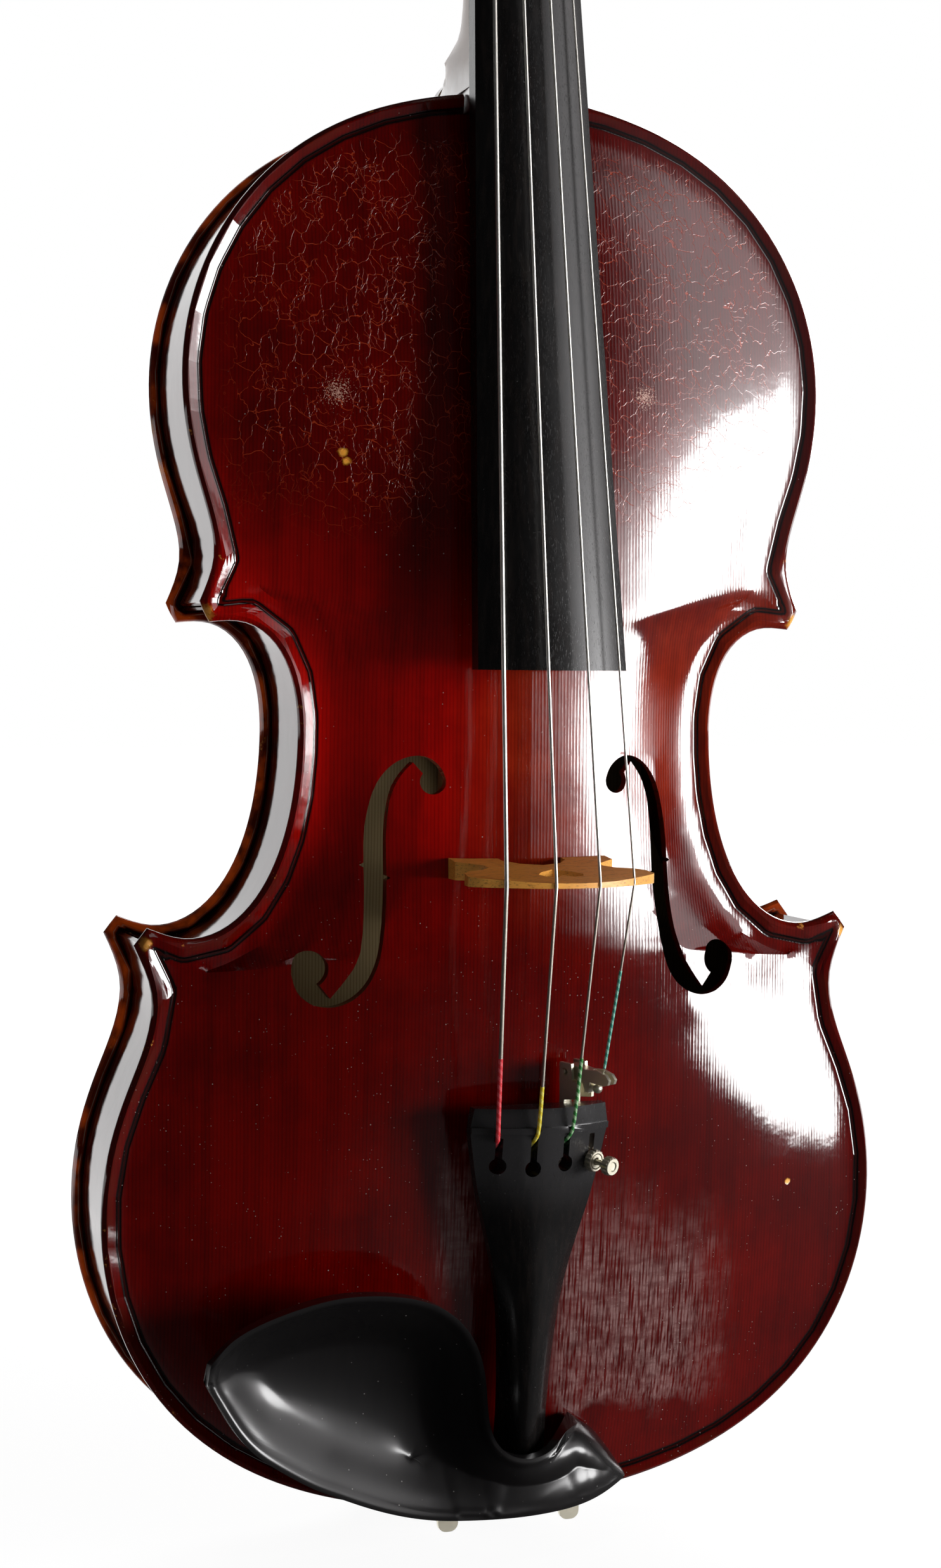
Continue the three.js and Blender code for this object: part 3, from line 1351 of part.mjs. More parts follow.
// Fine tuner, each outline as pairs: along the tailpiece, then out from its surface
const wireRadius = 0.42;
const ballPlace = [20.8, 1.1];
const ballRadius = 1.45;
const shankRadius = 0.9;
const shankTop = 6;
const shankTip = -10.5;
const bossRadius = 2;
const bossTop = 2.5;
const collarNutRadius = 3.2;
const collarNutBottom = 0.4;
const collarNutTop = 2.6;
const headRadius = 2.7;
const headTop = 8.8;
const leverHalf = 1.7;
const leverSlotHalf = 0.75;
const leverSlotBottom = -0.4;
const bracketHalf = 3.3;
const bracketWall = 1;
const bracketBase = [[-4, -9.1], [14, -9.1], [14, -8.3], [-4, -8.3]];
const bracketLeg = [
  [12, -9.9], [26.2, -10.9], [26.5, -6.4], [22, -5.8], [21.5, -3.2], [17, -3.2], [16.2, -6.6], [15.7, -8.3], [12, -8.3],
];
const leverOutline = [
  [-2, -11.9], [20, -11.6], [24.6, -10.7], [25.9, -8.8], [25.7, -2], [26.3, 2], [25.7, 5.4], [24.4, 6.7], [23.1, 6.3],
  [22.5, 4.8], [22.4, -0.5], [19.3, -0.7], [19.3, -1.9], [21.8, -3.4], [21.9, -7.6], [19.5, -9.9], [-2, -10.7],
];
const pivotPlace = [23.8, -8.8];
const pinRadius = 0.8;
const pinHalf = 4.2;

const ballBlank = new THREE.SphereGeometry(ballRadius, boltSides / 2, boltSides / 4);
ballBlank.translate(...tunerPoint(0, ...ballPlace).toArray());
const wire = tube([tunerPoint(0, ...ballPlace), tunerPoint(0, ...wireEnd)], wireRadius, windingSides);
addMesh('string_a_ball', union([ballBlank, wire]), steelWire);

const pinAxis = rod(pinRadius, tunerPoint(-pinHalf, ...pivotPlace), tunerAcross, pinHalf * 2, stringSides);
const pinBore = rod(pinRadius + fit, tunerPoint(-pinHalf * 2, ...pivotPlace), tunerAcross, pinHalf * 4, stringSides);
const leverSlot = tunerPrism([
  [ballPlace[0] - ballRadius, leverSlotBottom], [wireEnd[0], leverSlotBottom], [wireEnd[0], headTop],
  [ballPlace[0] - ballRadius, headTop],
], -leverSlotHalf, leverSlotHalf);
addMesh('tuner_lever', cut(tunerPrism(leverOutline, -leverHalf, leverHalf), [pinBore, leverSlot]), nickel);
addMesh('tuner_pin', pinAxis, nickel);

const shankBore = rod(shankRadius + fit, tunerPoint(0, 0, shankTip - overrun), tunerOut, overrun * 3, stringSides);
const bracketParts = [tunerPrism(bracketBase, -bracketHalf, bracketHalf)];
for (const side of [-1, 1]) {
  bracketParts.push(tunerPrism(bracketLeg, bracketHalf * side, (bracketHalf - bracketWall) * side));
}
const bossStart = tunerPoint(0, 0, bracketBase[0][1]);
bracketParts.push(rod(bossRadius, bossStart, tunerOut, bossTop - bracketBase[0][1], boltSides));
addMesh('tuner_bracket', cut(union(bracketParts), [pinBore, shankBore]), nickel);

const ring = (outer, inner, bottom, top) => turned([
  [inner, bottom], [outer, bottom], [outer, top], [inner, top], [inner, bottom],
], tunerPoint(0, 0, 0), tunerOut, boltSides);
addMesh('tuner_collar', ring(collarNutRadius, bossRadius + fit, collarNutBottom, collarNutTop), nickel);
addMesh('tuner_screw', rod(shankRadius, tunerPoint(0, 0, shankTip), tunerOut, shankTop - shankTip, stringSides), nickel);
addMesh('tuner_head', rod(headRadius, tunerPoint(0, 0, shankTop), tunerOut, headTop - shankTop, boltSides), nickel);

// Saddle, tailgut and end button
const saddleSide = [
  [-17.2, 8.4], [-17.2, 15], [-21.6, 15], [-24.2, 14], [-25, 12.2], [-24.7, 10], [-23.4, 8.7], [-21, 8.4],
];
const saddleOutline = saddleSide.map(([y, z]) => new THREE.Vector2(y, z));
addMesh('saddle', sidePrism(saddleOutline, -saddleHalf, saddleHalf), ebony);

const grooveLevel = 5;
const buttonProfile = [
  [0, 0], [5.9, 0], [6.6, 0.8], [6.6, 2.4], [4, 3.8], [4, 6.2], [6.2, 8], [6.2, 10.5], [3.6, 10.5],
];
const buttonShankEnd = 34;
const buttonTip = 3.2;
addMesh('end_button', turned(
  [...buttonProfile, [buttonTip, buttonShankEnd], [0, buttonShankEnd]],
  new THREE.Vector3(),
  zAxis,
  boltSides,
), ebony);

const gutLoop = 5.15;
const gutLoopSteps = 12;
const gutSide = [
  [4.5, -33.4, 12.5], [4.55, -27.3, 11.9], [4.6, -26.1, 10.5], [4.75, -25, 8.3], [4.95, -19, 6.2], [5.15, -6, 5],
];
const gutPath = [new THREE.Vector3(-gutHalf, gutHoleY, tailEnd + gutHoleDepth / 2)];
gutPath.push(new THREE.Vector3(-gutHalf, gutHoleY, tailEnd - gutRadius));
for (const [x, y, z] of gutSide) gutPath.push(new THREE.Vector3(-x, y, z));
for (let i = 0; i <= gutLoopSteps; i += 1) {
  const angle = Math.PI - (i / gutLoopSteps) * Math.PI;
  gutPath.push(new THREE.Vector3(gutLoop * Math.cos(angle), gutLoop * Math.sin(angle), grooveLevel));
}
for (const [x, y, z] of gutSide.slice().reverse()) gutPath.push(new THREE.Vector3(x, y, z));
gutPath.push(new THREE.Vector3(gutHalf, gutHoleY, tailEnd - gutRadius));
gutPath.push(new THREE.Vector3(gutHalf, gutHoleY, tailEnd + gutHoleDepth / 2));
addMesh('tailgut', tube(gutPath, gutRadius, stringSides), ebony);

// Chinrest: the two sides of its plan, from the bass tip round to the treble end
const chinUpper = [
  [-95, 64], [-91, 69], [-85, 72.5], [-77, 75.5], [-68, 78], [-58, 79.7], [-47, 79.3], [-38, 78], [-31, 75.5],
  [-25.5, 72], [-20.5, 66], [-18, 60], [-16.5, 53], [-16, 46], [-15, 39], [-13, 34.5], [-10, 31.5], [-5, 29], [3, 29],
  [9.6, 32.3], [12, 36], [17, 35.5], [22, 33], [27, 28], [31, 23], [34, 18],
];
const chinLower = [
  [-96, 58], [-93.5, 54], [-90, 48], [-86, 42], [-80, 36], [-73, 31.5], [-66, 27], [-58, 23.5], [-50, 20], [-40, 16.5],
  [-29, 14], [-18, 13], [-8, 12.5], [2, 12.5], [12, 13], [20, 14], [26, 15.5], [31, 17],
];
// Along the chinrest, at these shares of the way: the depths of both rims and of the underside, how
// deep the bowl is (below 0 the arm's ridge stands proud), and how thick the wood
const chinShares = [0, 0.08, 0.2, 0.35, 0.5, 0.6, 0.68, 0.74, 0.8, 0.87, 0.94, 1];
const chinUpperRim = [-50.5, -51, -51.5, -51.8, -51.5, -50.5, -48.8, -47.6, -45, -35, -29.5, -28];
const chinLowerRim = [-50.5, -49.5, -48, -47, -46.4, -46, -46, -46, -45.6, -44, -41, -36];
const chinUnder = [-60, -60, -60, -60, -60, -60, -60, -60, -41.8, -24.6, -24.6, -24.6];
const chinDish = [0, 4, 8, 9.5, 9, 6, 2, 0.4, -1.5, -6, -5, -3];
const chinThickness = [4, 5, 6, 6, 6, 6, 5, 4.6, 4.6, 5, 5.4, 5];
const chinStationCount = 22;
const chinAcrossSteps = 7;
const chinRimShare = 0.9;
const chinBowlShares = { start: 0.07, power: 0.8 };
const chinRidgeShare = 0.6;

function chinAt(values, share) {
  const i = Math.max(chinShares.findIndex((at) => at >= share), 1);
  const t = (share - chinShares[i - 1]) / (chinShares[i] - chinShares[i - 1]);
  return THREE.MathUtils.lerp(values[i - 1], values[i], t);
}

function chinShell() {
  const asLine = (pairs) => new THREE.SplineCurve(pairs.map(([x, z]) => new THREE.Vector2(x, z)));
  const upper = asLine(chinUpper).getSpacedPoints(chinStationCount);
  const lower = asLine(chinLower).getSpacedPoints(chinStationCount);
  const rings = upper.map((start, i) => {
    const share = i / chinStationCount;
    const [upperRim, lowerRim] = [chinAt(chinUpperRim, share), chinAt(chinLowerRim, share)];
    const [dish, thickness] = [chinAt(chinDish, share), chinAt(chinThickness, share)];
    const under = chinAt(chinUnder, share);
    const points = [];
    for (let k = 0; k <= chinAcrossSteps; k += 1) {
      const t = k / chinAcrossSteps;
      const plan = start.clone().lerp(lower[i], t);
      const inner = THREE.MathUtils.clamp(THREE.MathUtils.inverseLerp(chinBowlShares.start, 1 - chinBowlShares.start, t), 0, 1);
      const bowl = dish > 0 ? Math.sin(Math.PI * inner) ** chinBowlShares.power : Math.sin(Math.PI * t ** chinRidgeShare);
      points.push(new THREE.Vector3(plan.x, THREE.MathUtils.lerp(upperRim, lowerRim, t) + dish * bowl, plan.y));
    }
    const underside = points.map((point, k) => {
      const rim = k === 0 || k === chinAcrossSteps ? chinRimShare : 1;
      return new THREE.Vector3(point.x, Math.max(point.y + thickness * rim, under), point.z);
    });
    return [...points, ...underside.reverse()];
  });
  return loft(rings);
}

const chinFootBottom = -24.6;
const chinFootTop = -41;
const chinClearance = 1;
const padSink = 1.9;
const bassFoot = [[-38, 17], [-29, 14.8], [-18, 13.6], [-12, 13.4], [-12, 27], [-26, 29.5], [-38, 30]];
const padOutlines = {
  bass: [[-38, 17.4], [-29, 15], [-18, 13.6], [-12, 13.4], [-12, 25], [-38, 27.5]],
  treble: [[13, 14], [18, 14.4], [24, 15.6], [30, 17.6], [32, 18.6], [27, 25], [14, 25]],
};
const studOffset = 18.6;
const studLevel = 6;
const studRadius = 1.6;
const studInner = -2;
const studPlateHalf = 3;
const studPlateTop = -26.8;
const studPlateUnder = -25.4;
const studPlateBottom = 3.9;
const studPlateReach = 20;

const box = (x, y, z) => {
  const shape = new THREE.BoxGeometry(x[1] - x[0], y[1] - y[0], z[1] - z[0]);
  return shape.translate((x[0] + x[1]) / 2, (y[0] + y[1]) / 2, (z[0] + z[1]) / 2);
};
const onPlan = (pairs) => pairs.map(([x, z]) => new THREE.Vector2(x, z));
const studPlate = (side, room) => {
  const middle = studOffset * side;
  const across = [middle - studPlateHalf - room, middle + studPlateHalf + room];
  return box(across, [studPlateTop - room, studPlateUnder + room], [studPlateBottom, studPlateReach + room]);
};
const chinBlank = union([chinShell(), planPrism(onPlan(bassFoot), chinFootTop, chinFootBottom)]);
const studRecesses = union([studPlate(-1, fit), studPlate(1, fit)]);
addMesh('chinrest', seated(chinBlank.subtract(studRecesses), frontShell, -chinClearance), ebony);
for (const [suffix, outline] of Object.entries(padOutlines)) {
  const pad = planPrism(onPlan(outline), chinFootBottom, frontFace + padSink);
  const resting = seated(pad, frontShell, -fit).decompose();
  const outermost = resting.reduce((best, piece) => (depthOf(piece) < depthOf(best) ? piece : best));
  addMesh(`cork_pad_${suffix}`, outermost, cork);
}

// Clamp
const barrelRadius = 2.8;
const barrelFrom = -14;
const barrelTo = 12;
const lowerStudFrom = 3;
const clampHalf = 24;
const clampFrom = 24;
const clampTo = 26.6;
const clampBottom = 3;
const clampTop = 20;
const footCorkHalf = 22;
const footCorkBottom = 9.5;
for (const [suffix, side] of [['bass', -1], ['treble', 1]]) {
  const at = (y) => new THREE.Vector3(studOffset * side, y, studLevel);
  const stud = rod(studRadius, at(studPlateUnder - fit), yAxis, studInner - studPlateUnder + fit, boltSides / 2);
  addMesh(`clamp_stud_${suffix}`, union([studPlate(side, 0), stud]), nickel);
  addMesh(`clamp_barrel_${suffix}`, turned([
    [studRadius + fit, barrelFrom], [barrelRadius, barrelFrom], [barrelRadius, barrelTo], [studRadius + fit, barrelTo],
    [studRadius + fit, barrelFrom],
  ], at(0), yAxis, boltSides), nickel);
}
const clampParts = [box([-clampHalf, clampHalf], [clampFrom, clampTo], [clampBottom, clampTop])];
for (const side of [-1, 1]) {
  const from = new THREE.Vector3(studOffset * side, lowerStudFrom, studLevel);
  clampParts.push(rod(studRadius, from, yAxis, clampFrom + fit - lowerStudFrom, boltSides / 2));
}
addMesh('clamp_foot', union(clampParts), nickel);
const corkBlank = box([-footCorkHalf, footCorkHalf], [backFace - padSink, clampFrom], [footCorkBottom, clampTop]);
const corkPieces = seated(corkBlank, backShell, fit).decompose();
addMesh('foot_cork', corkPieces.reduce((best, piece) => (depthOf(piece) > depthOf(best) ? piece : best)), cork);

export default viola;
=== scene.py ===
import bmesh
import bpy
import json
import math
from mathutils import Matrix, Vector
from mathutils.bvhtree import BVHTree
from mathutils.kdtree import KDTree

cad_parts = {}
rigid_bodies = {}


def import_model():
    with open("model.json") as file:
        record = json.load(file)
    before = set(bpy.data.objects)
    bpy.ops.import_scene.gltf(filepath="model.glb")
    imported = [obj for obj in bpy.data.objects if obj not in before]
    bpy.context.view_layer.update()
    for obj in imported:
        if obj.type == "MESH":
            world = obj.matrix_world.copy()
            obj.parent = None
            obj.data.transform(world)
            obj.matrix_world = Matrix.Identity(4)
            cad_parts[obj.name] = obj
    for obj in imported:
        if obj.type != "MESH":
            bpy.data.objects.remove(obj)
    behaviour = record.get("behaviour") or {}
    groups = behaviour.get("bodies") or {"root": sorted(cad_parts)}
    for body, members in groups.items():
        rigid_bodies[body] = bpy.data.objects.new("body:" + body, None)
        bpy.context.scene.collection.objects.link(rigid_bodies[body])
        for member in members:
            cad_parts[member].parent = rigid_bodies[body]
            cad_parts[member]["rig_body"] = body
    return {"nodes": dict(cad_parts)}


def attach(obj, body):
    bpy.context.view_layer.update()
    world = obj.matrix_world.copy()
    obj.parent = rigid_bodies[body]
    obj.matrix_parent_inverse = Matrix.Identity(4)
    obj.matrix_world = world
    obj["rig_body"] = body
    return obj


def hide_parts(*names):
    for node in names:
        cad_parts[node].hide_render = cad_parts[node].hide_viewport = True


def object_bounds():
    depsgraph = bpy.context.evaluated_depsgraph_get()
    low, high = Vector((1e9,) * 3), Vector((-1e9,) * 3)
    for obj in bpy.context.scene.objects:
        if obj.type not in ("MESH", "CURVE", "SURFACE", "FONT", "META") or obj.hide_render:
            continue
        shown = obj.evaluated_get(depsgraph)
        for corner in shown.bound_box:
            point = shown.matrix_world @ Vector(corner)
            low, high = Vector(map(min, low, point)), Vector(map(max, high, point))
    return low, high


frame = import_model()
cad_box = [list(corner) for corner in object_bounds()]
nodes = frame["nodes"]
body_of = {name: node["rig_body"] for name, node in nodes.items()}
mm = 0.001

# Camera at the photograph's viewing angle

camera_data = bpy.data.cameras.new("camera")
camera = bpy.data.objects.new("camera", camera_data)
bpy.context.scene.collection.objects.link(camera)
bpy.context.scene.camera = camera
camera_data.sensor_width = 36
camera_data.lens = 62.27
camera_data.shift_x = 0.0088
camera_data.shift_y = -0.0378
camera_data.clip_start = 0.05
camera_data.clip_end = 20
turn = Matrix.Rotation(-0.3487, 3, "Z") @ Matrix.Rotation(-0.0272, 3, "X") @ Matrix.Rotation(-0.0107, 3, "Y")
to_photo = turn @ Matrix.Rotation(math.radians(90), 3, "X")
camera.matrix_world = Matrix.Translation((-0.28066, -0.7476, 0.25505)) @ to_photo.to_4x4()

bpy.context.scene.view_settings.view_transform = "Standard"

# Floor, light and background


def add_object(name, mesh):
    thing = bpy.data.objects.new(name, mesh)
    bpy.context.scene.collection.objects.link(thing)
    return thing


def lamp(name, place, aim, width, height, power):
    data = bpy.data.lights.new(name, "AREA")
    data.shape = "RECTANGLE"
    data.size = width
    data.size_y = height
    data.energy = power
    thing = add_object(name, data)
    thing.location = place
    thing.rotation_euler = (Vector(aim) - Vector(place)).to_track_quat("-Z", "Y").to_euler()
    return thing


# The softbox to the right of the camera, whose mirror image lies on the front
key = lamp("key_softbox", (1.604, -1.213, 0.205), (0, 0, 0.2), 0.98, 0.76, 50)
key.data.shape = "ELLIPSE"
lamp("lamp_above", (0.1, -0.5, 1.9), (0, 0, 0.3), 0.8, 0.5, 1.6)
lamp("lamp_behind", (1.2, 1.35, 0.8), (0, 0, 0.3), 0.9, 0.9, 26)
fill = lamp("soft_fill", (-1.0, -1.9, 0.5), (0, 0, 0.25), 1.2, 1.2, 0.5)
fill.visible_glossy = False


class Signal:
    """One output of a shader node, so that node maths reads as an expression."""

    def __init__(self, nodes, socket):
        self.nodes = nodes
        self.socket = socket

    def math(self, operation, *values, clamp=False):
        return self.nodes.node("Math", {"operation": operation, "use_clamp": clamp}, *values)

    def __add__(self, other):
        return self.math("ADD", self, other)

    def __sub__(self, other):
        return self.math("SUBTRACT", self, other)

    def __rsub__(self, other):
        return self.math("SUBTRACT", other, self)

    def __mul__(self, other):
        return self.math("MULTIPLY", self, other)

    def __truediv__(self, other):
        return self.math("DIVIDE", self, other)

    def __pow__(self, other):
        return self.math("POWER", self, other)

    def __neg__(self):
        return self.math("MULTIPLY", self, -1)

    __radd__ = __add__
    __rmul__ = __mul__

    def clamped(self):
        return self.math("ADD", self, 0, clamp=True)

    def size(self):
        return self.math("ABSOLUTE", self)

    def sine(self):
        return self.math("SINE", self)

    def most(self, other):
        return self.math("MAXIMUM", self, other)

    def over(self, low, high):
        """0 below low, 1 above high, and smooth between."""
        return self.nodes.node("MapRange", {"interpolation_type": "SMOOTHSTEP"}, self, low, high, 0, 1)

    def band(self, middle, half, soft):
        """1 within half of the middle, 0 further off than that and soft."""
        return 1 - (self - middle).size().over(half, half + soft)


class Nodes:
    """A node tree, with helpers that add nodes to it."""

    def __init__(self, tree):
        self.tree = tree

    def node(self, kind, settings, *values, out=0, **named):
        made = self.tree.nodes.new("ShaderNode" + kind)
        for key, value in settings.items():
            setattr(made, key, value)
        for index, value in enumerate(values):
            self.put(made.inputs[index], value)
        for key, value in named.items():
            self.put(made.inputs[key.replace("_", " ")], value)
        return Signal(self, made.outputs[out])

    def put(self, socket, value):
        if isinstance(value, Signal):
            self.tree.links.new(value.socket, socket)
        elif hasattr(value, "__len__") and len(value) == 3 and socket.type == "RGBA":
            socket.default_value = (*value, 1)
        else:
            socket.default_value = value

    def mix(self, share, first, second, blend="MIX"):
        """Between two colours: a Mix node's colours are its seventh and eighth inputs."""
        made = self.tree.nodes.new("ShaderNodeMix")
        made.data_type = "RGBA"
        made.blend_type = blend
        for index, value in ((0, share), (6, first), (7, second)):
            self.put(made.inputs[index], value)
        return Signal(self, made.outputs[2])


class Finish(Nodes):
    """A material on one Principled shader; its patterns are laid out in millimetres of the viola."""

    def __init__(self, name, **constants):
        self.material = bpy.data.materials.new(name)
        self.material.use_nodes = True
        super().__init__(self.material.node_tree)
        self.shader = self.tree.nodes["Principled BSDF"]
        self.output = self.tree.nodes["Material Output"]
        self.place = self.node("TexCoord", {}, out="Object")
        self.feed(**constants)

    def feed(self, **sockets):
        for key, value in sockets.items():
            self.put(self.shader.inputs[key.replace("_", " ")], value)
        return self

    def along(self, axis):
        """How far along one axis, in millimetres."""
        return self.node("SeparateXYZ", {}, self.place, out=axis) / mm

    def stretched(self, x=1, y=1, z=1):
        """The place in millimetres, each axis scaled, for patterns that run one way."""
        return self.node("Mapping", {}, self.place, Scale=(x / mm, y / mm, z / mm))

    def noise(self, where, scale=1.0, detail=3.0, rough=0.5):
        return self.node("TexNoise", {}, Vector=where, Scale=scale, Detail=detail, Roughness=rough)

    def clouds(self, reach, detail=3.0, rough=0.5):
        """Soft uneven patches about as wide as the reach, in millimetres."""
        return self.noise(self.stretched(), 1 / reach, detail, rough)

    def bump(self, height, strength=0.2, distance=0.0001):
        return self.node("Bump", {}, Strength=strength, Distance=distance, Height=height)

    def relief(self, height):
        """A bump whose height is in millimetres."""
        return self.bump(height, 1, mm)

    def away(self, place):
        """How far it is from a place; both are in millimetres."""
        settings = {"operation": "DISTANCE"}
        return self.node("VectorMath", settings, self.place, Vector(place) * mm, out="Value") / mm


def linear(value):
    """A screen value, 0 to 255, on the shader's linear scale."""
    share = value / 255
    return share / 12.92 if value < 10 else ((share + 0.055) / 1.055) ** 2.4


def srgb(*values):
    """A colour as seen on screen, each value 0 to 255, as the linear colour that the shader takes."""
    return tuple(linear(value) for value in values)


white_wall = (1.8, 1.8, 1.8)
white_floor = (1.12, 1.12, 1.12)
dark_floor = (0.01, 0.01, 0.01)
room_light = (0.93, 0.95, 1)
room_level = 0.03


def background():
    """White for the camera; in the gloss a dark room, the softbox's glow and white behind the viola."""
    world = bpy.data.worlds.new("studio")
    bpy.context.scene.world = world
    world.use_nodes = True
    room = Nodes(world.node_tree)
    room.tree.nodes.clear()
    ray = room.tree.nodes.new("ShaderNodeLightPath")
    toward = room.node("TexCoord", {}, out="Generated")
    across, depth, up = (room.node("SeparateXYZ", {}, toward, out=axis) for axis in "XYZ")
    turned = room.node("Math", {"operation": "ARCTAN2"}, across, -depth)
    beside = turned.over(0.44, 0.7) * (1 - turned.over(1.15, 1.45))
    glow = (1 - (up - 0.03).size().over(0.03, 0.17)) * 6.5
    glow = glow + up.band(0.3, 0.16, 0.2) * turned.over(0.42, 0.72) * 2.6
    wall = glow * beside + 0.02 + up.band(-0.5, 0.2, 0.2) * turned.over(-0.05, 0.35) * 0.1
    lit = room.node("CombineXYZ", {}, wall, wall * 0.97, wall * 0.98)
    mirrored = room.node("Background", {}, room.mix(depth.over(0.7, 0.92), lit, white_wall), 1)
    ambient = room.node("Background", {}, room_light, room_level)
    white = room.node("Background", {}, (1, 1, 1), 1)
    seen = Signal(room, ray.outputs["Is Camera Ray"]) + Signal(room, ray.outputs["Is Transmission Ray"])
    unseen = room.node("MixShader", {}, Signal(room, ray.outputs["Is Glossy Ray"]), ambient, mirrored)
    output = room.tree.nodes.new("ShaderNodeOutputWorld")
    room.put(output.inputs["Surface"], room.node("MixShader", {}, seen.clamped(), unseen, white))


background()


def floor():
    """A pale floor: in the gloss it is white behind the viola and not there in front of it."""
    bm = bmesh.new()
    bmesh.ops.create_grid(bm, x_segments=1, y_segments=1, size=6)
    bmesh.ops.translate(bm, verts=bm.verts, vec=(0, 0, cad_box[0][2] - 0.0005))
    mesh = bpy.data.meshes.new("floor")
    bm.to_mesh(mesh)
    bm.free()
    thing = add_object("floor", mesh)
    paint = Finish("pale_floor", Roughness=0.8, Specular_IOR_Level=0.1)
    paint.feed(Base_Color=paint.mix(paint.noise(paint.place, 40), (0.86, 0.86, 0.86), (0.9, 0.9, 0.9)))
    ray = paint.tree.nodes.new("ShaderNodeLightPath")
    seen = Signal(paint, ray.outputs["Is Camera Ray"]) + Signal(paint, ray.outputs["Is Transmission Ray"])
    glossy = Signal(paint, ray.outputs["Is Glossy Ray"])
    behind = paint.along("Y").over(60, 400)
    mirrored = paint.mix(behind, dark_floor, white_wall)
    glow = paint.node("Emission", {}, paint.mix(glossy, white_floor, mirrored), 1.0)
    far = paint.node("VectorMath", {"operation": "LENGTH"}, paint.place, out="Value").over(0.3, 0.9)
    share = (seen * (far * 0.16 + 0.84) + glossy).clamped()
    front = glossy * (1 - behind)
    glow = paint.node("MixShader", {}, front, glow, paint.node("BsdfTransparent", {}, (1, 1, 1)))
    mixed = paint.node("MixShader", {}, share, Signal(paint, paint.shader.outputs[0]), glow)
    paint.put(paint.output.inputs["Surface"], mixed)
    mesh.materials.append(paint.material)


floor()

# Finishes


def spots(finish, places):
    """1 near the places given in millimetres, each with its reach, and 0 away from them."""
    near = None
    ragged = finish.clouds(2.8, 4, 0.65) * 0.9
    for place, reach in places:
        mark = 1 - (finish.away(place) / reach + ragged).over(0.7, 1.15)
        near = mark if near is None else near.most(mark)
    return near


def speckle(finish, place, reach):
    """A worn patch of fine specks, dense in the middle and scattered further out."""
    thinning = finish.away(place) / reach
    return (finish.clouds(0.45, 2, 0.7) - thinning * 0.34).over(0.42, 0.5) * (1 - thinning.over(0.85, 1.15))


def flecks(finish, spacing, reach):
    """Scattered grains of dust, one to each cell at most."""
    cells = finish.node("TexVoronoi", {}, Vector=finish.stretched(), Scale=1 / spacing)
    return 1 - cells.over(reach / spacing * 0.6, reach / spacing * 1.4)


def year_rings(finish):
    """The year rings of quarter-sawn spruce, about a millimetre apart and almost straight."""
    wander = finish.noise(finish.stretched(0.03, 0.03, 0.006), 1, 2) * 9
    fine = finish.noise(finish.stretched(0.5, 0.5, 0.012), 1, 2) * 2.4
    return ((finish.along("X") * 6.1 + wander + fine).sine() * 0.5 + 0.5) ** 2.2


def flame(finish):
    """The flame of curly maple: bands across the grain that waver and fade."""
    bend = finish.noise(finish.stretched(0.012, 0.012, 0.05), 1, 3) * 14
    wave = (finish.along("Z") * 0.72 + finish.along("X").size() * 0.1 + bend).sine() * 0.5 + 0.5
    return wave * finish.noise(finish.stretched(0.05, 0.05, 0.02), 1, 2).over(0.25, 0.7)


def varnish(finish, figure, deep, thin, worn):
    """Red oil varnish: dark where it lies thick, brighter where it thins, and gold where it is worn off."""
    body = finish.mix(finish.clouds(40, 4, 0.6).over(0.3, 0.7), deep, thin)
    body = finish.mix(figure, body, finish.mix(0.8, body, (0.004, 0.0001, 0.0001)))
    gold = finish.mix(finish.clouds(1.4), srgb(224, 112, 14), srgb(255, 206, 70))
    return finish.mix(worn, body, gold)


def cracks(finish):
    """Fine cracks in the old varnish of the upper bout, in cells of a few millimetres."""
    across, height = finish.along("X"), finish.along("Z")
    drift = finish.clouds(4, 3) * 6
    place = finish.node("CombineXYZ", {}, across + drift, height * 0.72 - finish.clouds(8, 2) * 6, 0)
    flat = {"feature": "DISTANCE_TO_EDGE", "voronoi_dimensions": "2D"}
    wide = finish.node("TexVoronoi", flat, Vector=place, Scale=1 / 4.3)
    close = finish.node("TexVoronoi", flat, Vector=place, Scale=1 / 2.3)
    patch = (height + finish.clouds(26) * 70).over(318, 346) * (1 - height.over(393, 404))
    patch = patch * (1 - across.size().over(76, 90))
    held = finish.clouds(4.5, 2).over(0.34, 0.44)
    thick = finish.clouds(2, 2) * 0.5 + 0.6
    fine = (1 - close.over(0.012, 0.04)) * finish.clouds(9, 2).over(0.5, 0.58) * 0.7
    return ((1 - wide.over(0.004, 0.024)).most(fine) * held * thick * patch).clamped()


def edge_lines(finish, tone, rim, painted_glow_tone):
    """A plate's edge: a crest tinted by painted light shining through its varnish, and a dark groove with the
    two black lines of the purfling.
    """
    # The crest's tint is a painted glow of light through the edge.
    crest = (1 - rim.over(2.6, 3.8)) * finish.clouds(14, 3).over(0.4, 0.62)
    tone = finish.mix(crest * 0.7, tone, painted_glow_tone)
    nicks = (1 - rim.over(0.7, 1.5)) * finish.clouds(4, 4, 0.7).over(0.62, 0.7)
    tone = finish.mix(nicks, tone, srgb(206, 132, 60))
    tone = finish.mix(rim.band(4.8, 0.55, 0.8) * 0.78, tone, (0.003, 0.0006, 0.0004))
    lines = rim.band(4.3, 0.16, 0.16).most(rim.band(5.3, 0.16, 0.16))
    return finish.mix(lines * 0.92, tone, (0.0012, 0.001, 0.001))


def edge_height(rim):
    """The same edge's relief in millimetres: its crest stands proud and falls into the groove."""
    fall = ((rim - 1.8) * 0.357).clamped()
    return (1 - fall) * 0.98 + rim.over(5.2, 8.6) * 0.12 - rim.band(4.9, 0.4, 0.4) * 0.08


def rim_of(finish):
    return finish.node("Attribute", {"attribute_name": "rim"}, out="Fac")


